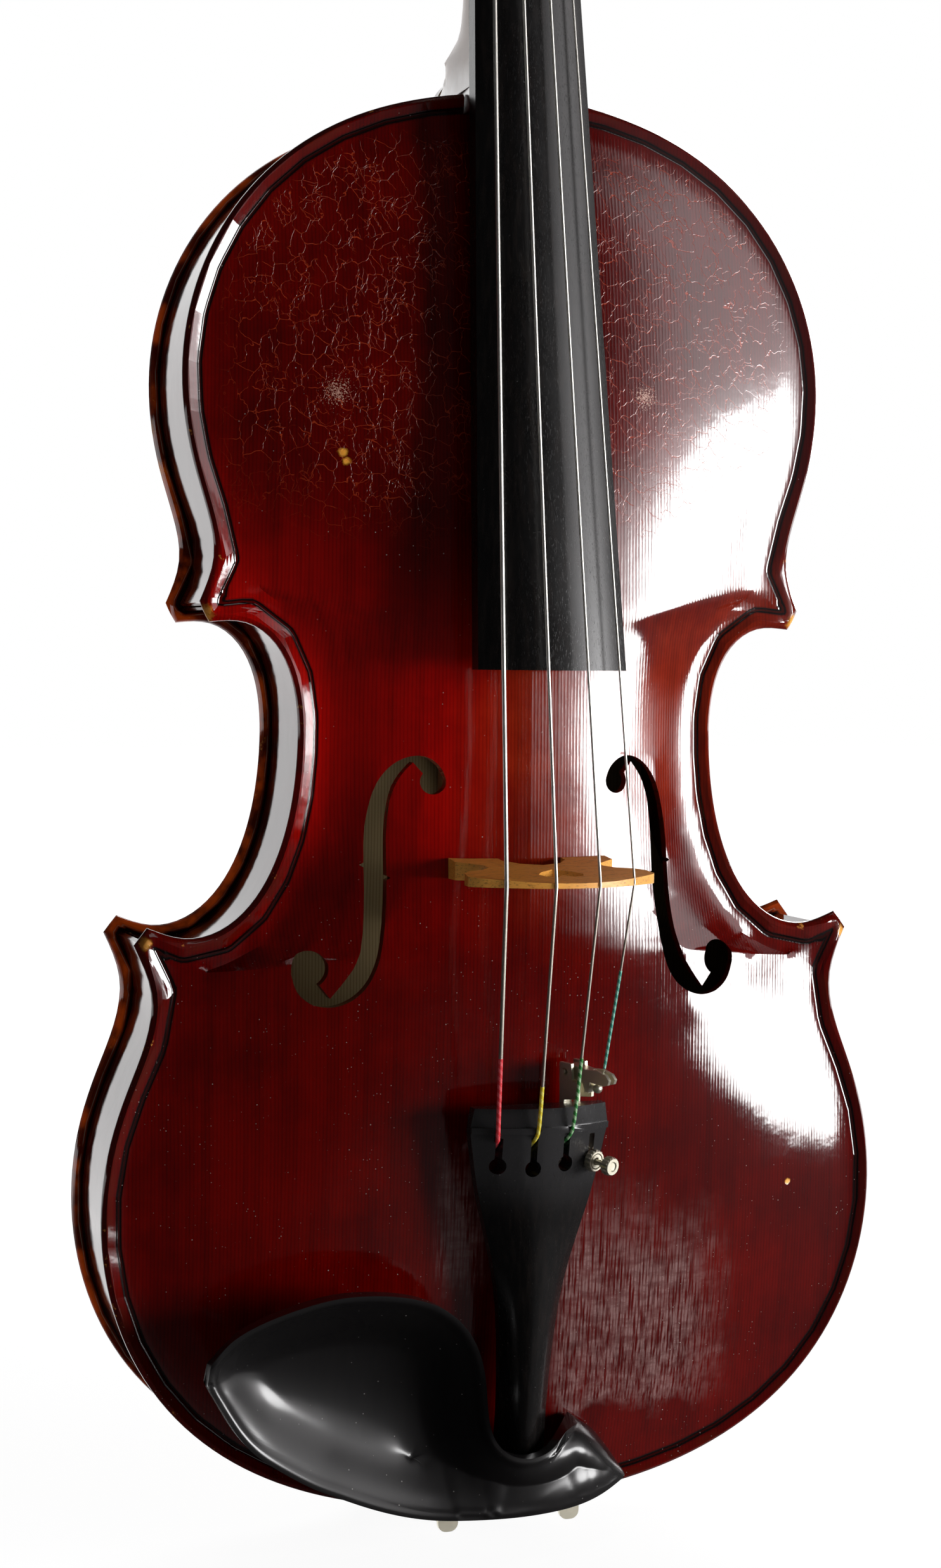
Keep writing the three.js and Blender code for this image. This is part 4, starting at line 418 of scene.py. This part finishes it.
front_corners = (
    ((-91.5, -20, 263.5), 6),
    ((90.5, -21, 264.5), 5),
    ((-107, -21, 174), 3.4),
    ((108, -21, 172), 3.4),
)
front_chips = (((-53.9, -29.5, 309.8), 2.5), ((-53, -29.7, 307.2), 2.2), ((88.3, -25.5, 98), 1.7))


def front_varnish(paint, figure, worn):
    """The front's varnish: painted light makes it brightest across the waist and browner on the treble side
    there, and a painted shadow of the fingerboard darkens it beside the board.
    """
    across, height = paint.along("X"), paint.along("Z")
    # Painted light: near is a pool of light across the waist, weaker on the far treble side.
    near = height.band(238, 10, 70) * (1 - across.over(20, 50) * 0.3)
    # Painted shadow: the fingerboard's shadow darkens near along the board's bass side.
    near = near * (1 - (across + 30).band(0, 8, 16) * height.over(254, 284) * 0.85)
    # On the treble side the painted light is browner, a painted sheen.
    warm = across.over(-28, 4)
    deep = paint.mix(near, srgb(78, 0, 0), paint.mix(warm, srgb(150, 3, 1), srgb(108, 9, 3)))
    thin = paint.mix(near, srgb(106, 3, 0), paint.mix(warm, srgb(184, 8, 2), srgb(162, 48, 20)))
    return varnish(paint, figure, deep, thin, worn)


def front_dust(paint):
    """Specks of dust, and more of them below the bridge."""
    below = 1 - paint.along("Z").over(176, 196)
    dust = flecks(paint, 3.4, 0.16) * paint.clouds(30, 2).over(0.38, 0.7)
    return dust.most(flecks(paint, 1.7, 0.13) * below * paint.clouds(14).over(0.45, 0.7))


def varnished_spruce():
    paint = Finish("varnished_spruce", IOR=1.5, Coat_Roughness=0.34)
    rim = rim_of(paint)
    across, height = paint.along("X"), paint.along("Z")
    rings = year_rings(paint)
    pores = paint.noise(paint.stretched(3, 3, 0.12), 1, 3, 0.7)
    streaks = paint.noise(paint.stretched(0.3, 0.3, 0.012), 1, 4, 0.6).over(0.34, 0.72)
    worn = spots(paint, front_corners).most(spots(paint, front_chips))
    tone = front_varnish(paint, rings * 0.26 + pores * 0.3 + streaks * 0.28, worn)
    # The front's crest gets a browner painted glow of light through its edge.
    tone = edge_lines(paint, tone, rim, srgb(78, 16, 5))
    split = cracks(paint) * rim.over(6, 9)
    tone = paint.mix(split * 0.8, tone, srgb(170, 60, 30))
    rubbed = speckle(paint, (-55.3, -28.8, 326.4), 8).most(speckle(paint, (36.5, -31.1, 328.5), 7))
    tone = paint.mix(rubbed * 0.85, tone, srgb(196, 150, 132))
    tone = paint.mix(front_dust(paint) * 0.6, tone, srgb(208, 196, 190))
    # haze: rosin that roughens the varnish, and whose pale pink tone is a painted sheen
    haze = rosin_and_painted_sheen(paint, rings)
    tone = paint.mix(haze * 0.4, tone, srgb(186, 150, 146))
    ripple = paint.clouds(7, 3) * 0.05 + paint.clouds(30, 2) * 0.1
    grain = rings * (across.over(-24, 8) * 0.006 + 0.003) + pores * 0.008 + streaks * 0.012
    relief = edge_height(rim) + grain * rim.over(3, 7) + ripple - split * 0.03 - worn * 0.05
    rough = pores * 0.05 + 0.05 + worn * 0.4 + rubbed * 0.3 + haze * 0.25
    paint.feed(Base_Color=tone, Roughness=rough, Normal=paint.relief(relief))
    paint.feed(Coat_Weight=across.over(5, 60) * (height.over(250, 300) * 0.3 + 0.05))
    return paint.material


def rosin_and_painted_sheen(finish, rings):
    """Cloudy rosin in the grain beside the lower half of the tailpiece, with a wavy lower edge; its pale pink
    colour is a painted sheen.
    """
    wave = finish.clouds(9, 3) * 20
    across, up = finish.along("X"), finish.along("Z")
    right = across.over(10, 16) * (1 - (across + wave).over(58, 84)) * (up + wave).over(42, 50)
    right = right * (1 - (up + wave + (across - 10) * 0.35).over(92, 126))
    left = (across + 17).band(0, 4, 6) * (up + wave).over(82, 92) * (1 - (up + wave).over(112, 128)) * 0.8
    ripples = finish.noise(finish.stretched(0.16, 0.16, 0.4), 1, 3, 0.6).over(0.34, 0.62) * 0.5 + 0.5
    streaks = finish.noise(finish.stretched(1.3, 1, 0.03), 1, 3, 0.6).over(0.3, 0.62)
    return right.most(left) * ripples * (streaks * 0.7 + rings * 0.4).over(0.1, 1)


back_worn = (((-97, 20, 306), 8), ((-97, 20, 318), 5), ((0, 24, 408), 8), ((117, 20, 120), 4))


def varnished_maple(name, has_rim):
    """The back's or the ribs' varnish over flamed maple; only the back has an edge of its own."""
    paint = Finish(name, IOR=1.5, Specular_Tint=(1, 0.9, 0.91, 1))
    figure = flame(paint)
    pores = paint.noise(paint.stretched(1.5, 1.5, 0.12), 1, 3, 0.7)
    depth = paint.along("Y")
    worn = spots(paint, back_worn)
    tone = varnish(paint, figure * 0.6 + pores * 0.2, srgb(62, 5, 1), srgb(110, 18, 4), worn)
    height = pores * 0.005 + paint.clouds(10, 2) * 0.05
    if has_rim:
        rim = rim_of(paint)
        # The back's crest gets an orange painted glow of backlight through its edge.
        tone = edge_lines(paint, tone, rim, srgb(146, 52, 12))
        inner = 1 - depth.over(17.7, 18.6)
        # Painted glow: the back's outer edge emits a faint orange light, standing in for light shining
        # through its thin varnish.
        edge = (1 - rim.over(0.9, 2.4)) * paint.clouds(13, 4).over(0.42, 0.64)
        paint.feed(Emission_Color=paint.mix(edge, (0, 0, 0), srgb(214, 84, 20)), Emission_Strength=0.16)
        tone = paint.mix(inner * rim.over(1.9, 2.5) * 0.9, tone, (0.004, 0.001, 0.0008))
        glue = inner * rim.band(1.75, 0.07, 0.1) * paint.clouds(6).over(0.3, 0.6)
        tone = paint.mix(glue, tone, srgb(150, 128, 112))
        height = height + edge_height(rim) * 0.6 * depth.over(18.5, 20.5)
    else:
        # Darker at the ribs' edges next to the plates.
        dark_by_plates = (depth.size() + paint.clouds(5) * 0.9).over(15.6, 16.9)
        tone = paint.mix(dark_by_plates * 0.92, tone, (0.003, 0.0008, 0.0005))
        height = height + dark_by_plates * 0.12
    paint.feed(Base_Color=tone, Roughness=figure * 0.03 + worn * 0.4 + 0.06)
    paint.feed(Normal=paint.relief(height))
    return paint.material


def raw_wood():
    paint = Finish("raw_wood", IOR=1.45)
    rings = year_rings(paint)
    tone = paint.mix(rings, srgb(216, 192, 140), srgb(184, 154, 104))
    shade = paint.clouds(22)
    tone = paint.mix(shade * 0.4, tone, srgb(160, 136, 92))
    # Painted shade: the bare wood is darker toward the treble side, so the inside seen through the treble
    # f-hole is dark.
    painted_treble_shade = paint.along("X").over(-10, 40) * 0.8
    paint.feed(Base_Color=paint.mix(painted_treble_shade, tone, srgb(70, 52, 34)), Roughness=shade * 0.15 + 0.72)
    return paint.material


def neck_maple():
    paint = Finish("neck_maple", IOR=1.5, Coat_Roughness=0.2)
    height = paint.along("Z") + paint.clouds(7) * 9
    coated = (height.over(560, 569) + 1 - height.over(413, 430)).clamped()
    figure = flame(paint)
    pores = paint.noise(paint.stretched(2, 2, 0.1), 1, 3, 0.7)
    bare = paint.mix(figure * 0.4 + pores * 0.4, srgb(238, 206, 188), srgb(214, 176, 154))
    worn = spots(paint, [((-20, -11, 646), 4), ((20, -11, 640), 3), ((0, -27, 600), 4)])
    deep = varnish(paint, figure * 0.7 + pores * 0.2, srgb(74, 8, 3), srgb(128, 26, 8), worn)
    paint.feed(Base_Color=paint.mix(coated, bare, deep), Roughness=0.42 - coated * 0.12)
    paint.feed(Coat_Weight=coated * 0.75 + 0.2, Normal=paint.bump(pores, 0.2, 0.00006))
    return paint.material


def ebony(name, polish):
    """Ebony: near black with faint brown streaks and fine open pores along the grain."""
    paint = Finish(name, IOR=1.5)
    streaks = paint.noise(paint.stretched(0.8, 0.8, 0.02), 1, 4, 0.6)
    pores = paint.noise(paint.stretched(4, 4, 0.15), 1, 2, 0.7).over(0.58, 0.72)
    tone = paint.mix(streaks.over(0.4, 0.8), srgb(9, 8, 8), srgb(26, 21, 19))
    height = paint.along("Z")
    # Painted sheen: a lighter grey band at the height of the tailpiece's head.
    tone = paint.mix(height.over(96, 112) * (1 - height.over(126, 132)) * 0.8, tone, srgb(44, 43, 44))
    tone = paint.mix(pores * 0.5, tone, srgb(4, 4, 4))
    dust = flecks(paint, 2.4, 0.13) * paint.clouds(16).over(0.42, 0.7)
    tone = paint.mix(dust * 0.4, tone, srgb(150, 148, 146))
    handled = paint.noise(paint.stretched(0.08, 0.08, 0.04), 1, 4, 0.6)
    scuffs = paint.noise(paint.stretched(1.4, 1.4, 0.06), 1, 3, 0.7).over(0.6, 0.75)
    rough = handled * 0.12 + pores * 0.08 + scuffs * 0.06 + 0.24 - polish * 0.14
    paint.feed(Base_Color=tone, Roughness=rough, Normal=paint.relief(handled * 0.02 - pores * 0.01))
    return paint.material


def chinrest_black():
    paint = Finish("chinrest_ebony", IOR=1.5, Specular_IOR_Level=0.26, Coat_Weight=0.2, Coat_Roughness=0.5)
    grain = paint.noise(paint.stretched(0.6, 0.6, 0.05), 1, 4, 0.6)
    haze = paint.clouds(30, 4, 0.6)
    dust = flecks(paint, 3.2, 0.17) * haze.over(0.35, 0.7)
    tone = paint.mix(dust * 0.7, paint.mix(grain, srgb(7, 6, 7), srgb(18, 16, 16)), srgb(176, 172, 168))
    paint.feed(Base_Color=tone, Roughness=haze * 0.1 + 0.14 + dust * 0.3)
    paint.feed(Normal=paint.relief(grain * 0.004 + paint.clouds(9, 2) * 0.03))
    return paint.material


def bridge_wood():
    paint = Finish("bridge_maple", IOR=1.5, Coat_Weight=0.15, Coat_Roughness=0.3)
    rays = paint.noise(paint.stretched(0.5, 2, 2.6), 1, 2, 0.6).over(0.56, 0.66)
    grain = paint.noise(paint.stretched(0.12, 0.6, 1.2), 1, 4, 0.6)
    tone = paint.mix(grain, srgb(255, 190, 84), srgb(228, 142, 48))
    tone = paint.mix(rays * 0.6, tone, srgb(140, 84, 30))
    paint.feed(Base_Color=tone, Roughness=grain * 0.2 + 0.38, Normal=paint.bump(rays, 0.15, 0.00005))
    return paint.material


def metal(name, tone, rough, scratch):
    paint = Finish(name, Metallic=0.94, IOR=1.5)
    brushed = paint.clouds(0.5, 4, 0.7)
    paint.feed(Base_Color=paint.mix(paint.clouds(2.5) * 0.5, tone, tuple(v * 0.72 for v in tone)))
    paint.feed(Roughness=brushed * scratch + rough, Normal=paint.bump(brushed, 0.08, 0.00003))
    return paint.material


def wound_wire():
    """Flat-wound string: hair-thin turns of silver wire, greyer, browner and rougher below the bridge."""
    paint = Finish("steel_wire", Metallic=1.0)
    turns = (paint.along("Z") * (2 * math.pi / 0.34)).sine()
    below_bridge = 1 - paint.along("Z").over(186, 194)
    tone = paint.mix(paint.noise(paint.stretched(1, 1, 0.08), 1, 3), srgb(246, 244, 238), srgb(206, 202, 194))
    tone = paint.mix(below_bridge * 0.6, tone, srgb(120, 104, 84))
    paint.feed(Base_Color=tone, Roughness=below_bridge * 0.15 + 0.45, Normal=paint.bump(turns, 0.3, 0.00004))
    return paint.material


def thread(name, main, second, pitch):
    """Silk thread wrapped round a string: strands that climb round it, with a second colour among them."""
    paint = Finish(name, Roughness=0.62)
    across, height = paint.along("X"), paint.along("Z")
    turns = ((height + across * 0.9) * (2 * math.pi / pitch)).sine() * 0.5 + 0.5
    strand = ((height + across * 0.4) * (2 * math.pi / 0.42)).sine() * 0.5 + 0.5
    fuzz = paint.clouds(0.33)
    tone = paint.mix(turns.over(0.35, 0.65), main, second)
    paint.feed(Base_Color=paint.mix(strand * 0.3 + fuzz * 0.2, tone, tuple(v * 0.45 for v in main)))
    paint.feed(Normal=paint.bump(strand + fuzz * 0.6, 0.5, 0.0001))
    return paint.material


def cork():
    paint = Finish("cork", Roughness=0.85)
    cells = paint.node("TexVoronoi", {"feature": "F1"}, Vector=paint.stretched(), Scale=0.9)
    specks = paint.clouds(0.6, 4, 0.7).over(0.56, 0.66)
    tone = paint.mix(cells, srgb(186, 140, 92), srgb(146, 98, 58))
    paint.feed(Base_Color=paint.mix(specks, tone, srgb(84, 50, 30)), Normal=paint.bump(cells, 0.5, 0.0002))
    return paint.material


def gut():
    paint = Finish("tailgut", Roughness=0.4, Coat_Weight=0.3)
    twist = paint.noise(paint.stretched(2, 2, 0.6), 1, 2)
    paint.feed(Base_Color=paint.mix(twist, srgb(28, 26, 26), srgb(52, 48, 46)), Normal=paint.bump(twist, 0.2))
    return paint.material


spruce = varnished_spruce()
back_maple = varnished_maple("varnished_back", True)
rib_maple = varnished_maple("varnished_ribs", False)
raw = raw_wood()
neck_wood = neck_maple()
board_ebony = ebony("ebony_satin", 0.2)
polished_ebony = ebony("ebony_polished", 0.6)
chin_ebony = chinrest_black()
bridge_maple = bridge_wood()
nickel = metal("nickel", srgb(232, 226, 206), 0.3, 0.2)
wire = wound_wire()
silk_tones = {
    "c": (srgb(226, 44, 54), srgb(244, 92, 100)),
    "g": (srgb(232, 206, 32), srgb(246, 232, 110)),
    "d": (srgb(48, 140, 60), srgb(180, 218, 172)),
    "a": (srgb(66, 160, 142), srgb(160, 218, 200)),
}
silks = {name: thread(f"silk_{name}_thread", *tones, 2.2) for name, tones in silk_tones.items()}
cork_finish = cork()
gut_finish = gut()

# Pieces


def smooth_copy(node, finish, sharp=35, rounds=1, join=True):
    """A smooth copy of a CAD node that replaces it: its edges sharper than the angle stay sharp."""
    bm = bmesh.new()
    bm.from_mesh(nodes[node].data)
    bmesh.ops.remove_doubles(bm, verts=bm.verts, dist=3e-6)
    if join:
        flat, square = math.radians(30), math.radians(50)
        bmesh.ops.join_triangles(bm, faces=bm.faces, angle_face_threshold=flat, angle_shape_threshold=square)
    crease = bm.edges.layers.float.new("crease_edge")
    for edge in bm.edges:
        if edge.calc_face_angle(3) > math.radians(sharp):
            edge[crease] = 1
            edge.smooth = False
    for face in bm.faces:
        face.smooth = True
    mesh = bpy.data.meshes.new(node)
    bm.to_mesh(mesh)
    bm.free()
    mesh.materials.append(finish)
    thing = add_object(f"{node}_piece", mesh)
    if rounds:
        rounding = thing.modifiers.new("smooth", "SUBSURF")
        rounding.levels = rounds
        rounding.render_levels = rounds
    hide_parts(node)
    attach(thing, body_of[node])
    return thing


def tree_along(edges):
    """The edges as points close together, seen flat from the front."""
    points = []
    for start, end in edges:
        count = max(int((end - start).length / (0.3 * mm)), 1)
        points.extend(start.lerp(end, i / count) for i in range(count + 1))
    tree = KDTree(len(points))
    for index, point in enumerate(points):
        tree.insert((point.x, 0, point.z), index)
    tree.balance()
    return tree


def outline_tree(node):
    """The plate's outline: the edges of its upright wall, without the joint between its halves."""
    source = nodes[node].data
    on_wall = {v.index for v in source.vertices if abs(abs(v.co.y) - 18.5 * mm) < 0.02 * mm}
    edges = []
    for edge in source.edges:
        start, end = (source.vertices[i].co for i in edge.vertices)
        at_joint = abs(start.x) < 0.01 * mm and abs(end.x) < 0.01 * mm
        if not at_joint and all(i in on_wall for i in edge.vertices):
            edges.append((start, end))
    return tree_along(edges)


# The chinrest's bowl and ridge, in millimetres
bowl_depth = 3.2
ridge_height = 0.7
ridge_place = 1.5
ridge_width = 1.2


def chinrest_piece():
    """The chinrest with a rounder bowl inside a low ridge that follows its border."""
    thing = smooth_copy("chinrest", chin_ebony, 48, 3)
    bpy.context.view_layer.update()
    mesh = bpy.data.meshes.new_from_object(thing.evaluated_get(bpy.context.evaluated_depsgraph_get()))
    thing.modifiers.clear()
    thing.data = mesh
    bm = bmesh.new()
    bm.from_mesh(mesh)
    whole = BVHTree.FromBMesh(bm)
    border = []
    for edge in bm.edges:
        if len({face.normal.y < -0.3 for face in edge.link_faces}) == 2:
            inner = min(edge.link_faces, key=lambda face: face.normal.y).calc_center_median()
            middle = (edge.verts[0].co + edge.verts[1].co) / 2
            outward = Vector((middle.x - inner.x, 0, middle.z - inner.z)).normalized() * (1.2 * mm)
            start = Vector((middle.x, -0.3, middle.z)) + outward
            if whole.ray_cast(start, (0, 1, 0))[0] is None:
                border.append((edge.verts[0].co.copy(), edge.verts[1].co.copy()))
    tree = tree_along(border)
    bowl = []
    for point in bm.verts:
        met = whole.ray_cast(Vector((point.co.x, -0.3, point.co.z)), (0, 1, 0))[0]
        if point.normal.y < -0.35 or (met and point.co.y < met.y + 1.5 * mm and point.normal.y < 0.3):
            bowl.append(point)
    rims = [tree.find((v.co.x, 0, v.co.z))[2] * 1000 for v in bowl]
    inside = [v for v, rim in zip(bowl, rims) if rim > ridge_place]
    for _ in range(120):
        bmesh.ops.smooth_vert(bm, verts=inside, factor=0.5, use_axis_y=True)
    for point, rim in zip(bowl, rims):
        share = min(max((rim - 3) / 13, 0), 1)
        sunk = bowl_depth * share * share * (3 - 2 * share)
        fading = min(max((5 * mm - point.co.x) / (20 * mm), 0), 1)
        ridge = ridge_height * math.exp(-(((rim - ridge_place) / ridge_width) ** 2)) * fading
        point.co.y += (sunk - ridge) * mm
    bm.to_mesh(mesh)
    bm.free()


def stud_piece(side):
    """A clamp stud whose lower end is rounded off."""
    thing = smooth_copy(f"clamp_stud_{side}", nickel, 40, 0)
    bm = bmesh.new()
    bm.from_mesh(thing.data)
    lowest = min(v.co.z for v in bm.verts) + 0.3 * mm
    ends = [e for e in bm.edges if all(v.co.z < lowest for v in e.verts)]
    corners = [e for e in ends if abs(e.verts[0].co.x - e.verts[1].co.x) < 0.1 * mm]
    bmesh.ops.bevel(bm, geom=corners, offset=2.4 * mm, segments=6, profile=0.5, affect="EDGES", material=-1)
    bm.to_mesh(thing.data)
    bm.free()


def plate(node, finish, inward):
    """A plate whose points each know how far in from the outline they lie; its inside is bare wood."""
    thing = smooth_copy(node, finish, 50, 2)
    bpy.context.view_layer.update()
    settled = thing.evaluated_get(bpy.context.evaluated_depsgraph_get())
    mesh = bpy.data.meshes.new_from_object(settled)
    thing.modifiers.clear()
    thing.data = mesh
    tree = outline_tree(node)
    rim = [tree.find((point.co.x, 0, point.co.z))[2] * 1000 for point in mesh.vertices]
    mesh.attributes.new("rim", "FLOAT", "POINT").data.foreach_set("value", rim)
    mesh.materials.append(raw)
    for face in mesh.polygons:
        if face.normal.y * inward > 0.3 and min(rim[i] for i in face.vertices) > 3:
            face.material_index = 1
    return thing


# The tuner's own frame, as the solids have it, and the profiles of its turned parts: radius, height
tuner_origin = Vector((15.2, -47.4307, 112.6)) * mm
tuner_out = Vector((0.40673664, -0.90637994, -0.11419589))
tuner_along = Vector((0, -0.12500296, 0.99215637))
tuner_across = tuner_along.cross(tuner_out)
collar_profile = ((2.3, 0.4), (2.8, 0.4), (3.2, 0.8), (3.2, 2.2), (2.8, 2.6), (2.3, 2.6), (2.3, 0.4))
head_profile = ((0, 6), (2, 6), (2.7, 6.4), (2.7, 8.3), (2.3, 8.8), (1.4, 8.8), (1.1, 8.5), (0, 8.5))
teeth_around = 16
tooth_depth = 0.91


def knurled(node, profile):
    """A turned part on the tuner's screw, from its radii and heights; the widest part has fine teeth."""
    bm = bmesh.new()
    line = [bm.verts.new((radius * mm, 0, height * mm)) for radius, height in profile]
    edges = [bm.edges.new(pair) for pair in zip(line, line[1:])]
    turned = {"axis": (0, 0, 1), "angle": math.tau, "steps": teeth_around * 2, "use_merge": True}
    bmesh.ops.spin(bm, geom=line + edges, **turned)
    bmesh.ops.remove_doubles(bm, verts=bm.verts, dist=1e-6)
    widest = max(radius for radius, height in profile) * mm
    for point in bm.verts:
        reach = point.co.xy.length
        step = round(math.atan2(point.co.y, point.co.x) / math.pi * teeth_around)
        if reach > widest * 0.99 and step % 2:
            point.co.xy *= tooth_depth
    bmesh.ops.recalc_face_normals(bm, faces=bm.faces)
    axes = Matrix((tuner_across, tuner_along, tuner_out)).transposed().to_4x4()
    bmesh.ops.transform(bm, matrix=Matrix.Translation(tuner_origin) @ axes, verts=bm.verts)
    mesh = bpy.data.meshes.new(node)
    bm.to_mesh(mesh)
    bm.free()
    mesh.materials.append(nickel)
    thing = add_object(f"{node}_piece", mesh)
    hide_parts(node)
    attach(thing, body_of[node])


sides = ("bass", "treble")
for side in sides:
    plate(f"front_plate_{side}", spruce, 1)
    plate(f"back_plate_{side}", back_maple, -1)
    for bout in ("upper", "middle", "lower"):
        smooth_copy(f"{bout}_rib_{side}", rib_maple, 30)
    smooth_copy(f"cork_pad_{side}", cork_finish, 40, 0)
    stud_piece(side)
    smooth_copy(f"clamp_barrel_{side}", nickel, 40, 0)
for name in ("c", "g", "d", "a"):
    smooth_copy(f"peg_{name}", polished_ebony, 40, 1)
    smooth_copy(f"string_{name}", wire, 60, 0)
    smooth_copy(f"winding_{name}", wire, 70, 1)
    smooth_copy(f"silk_{name}", silks[name], 60, 1)
smooth_copy("fingerboard", board_ebony, 35, 1)
smooth_copy("neck_and_scroll", neck_wood, 40, 1)
smooth_copy("nut", polished_ebony, 35, 0)
smooth_copy("bridge", bridge_maple, 40, 0, False)
smooth_copy("tailpiece", polished_ebony, 35, 1)
smooth_copy("saddle", polished_ebony, 35, 0)
smooth_copy("end_button", polished_ebony, 40, 1)
smooth_copy("tailgut", gut_finish, 60, 1)
chinrest_piece()
for part in ("string_a_ball", "tuner_lever", "tuner_pin", "tuner_bracket", "tuner_screw"):
    smooth_copy(part, nickel, 40, 0)
knurled("tuner_collar", collar_profile)
knurled("tuner_head", head_profile)
smooth_copy("clamp_foot", nickel, 40, 0)
smooth_copy("foot_cork", cork_finish, 40, 0)

for name, node in nodes.items():
    if not node.hide_render:
        for place in node.material_slots:
            place.material = raw
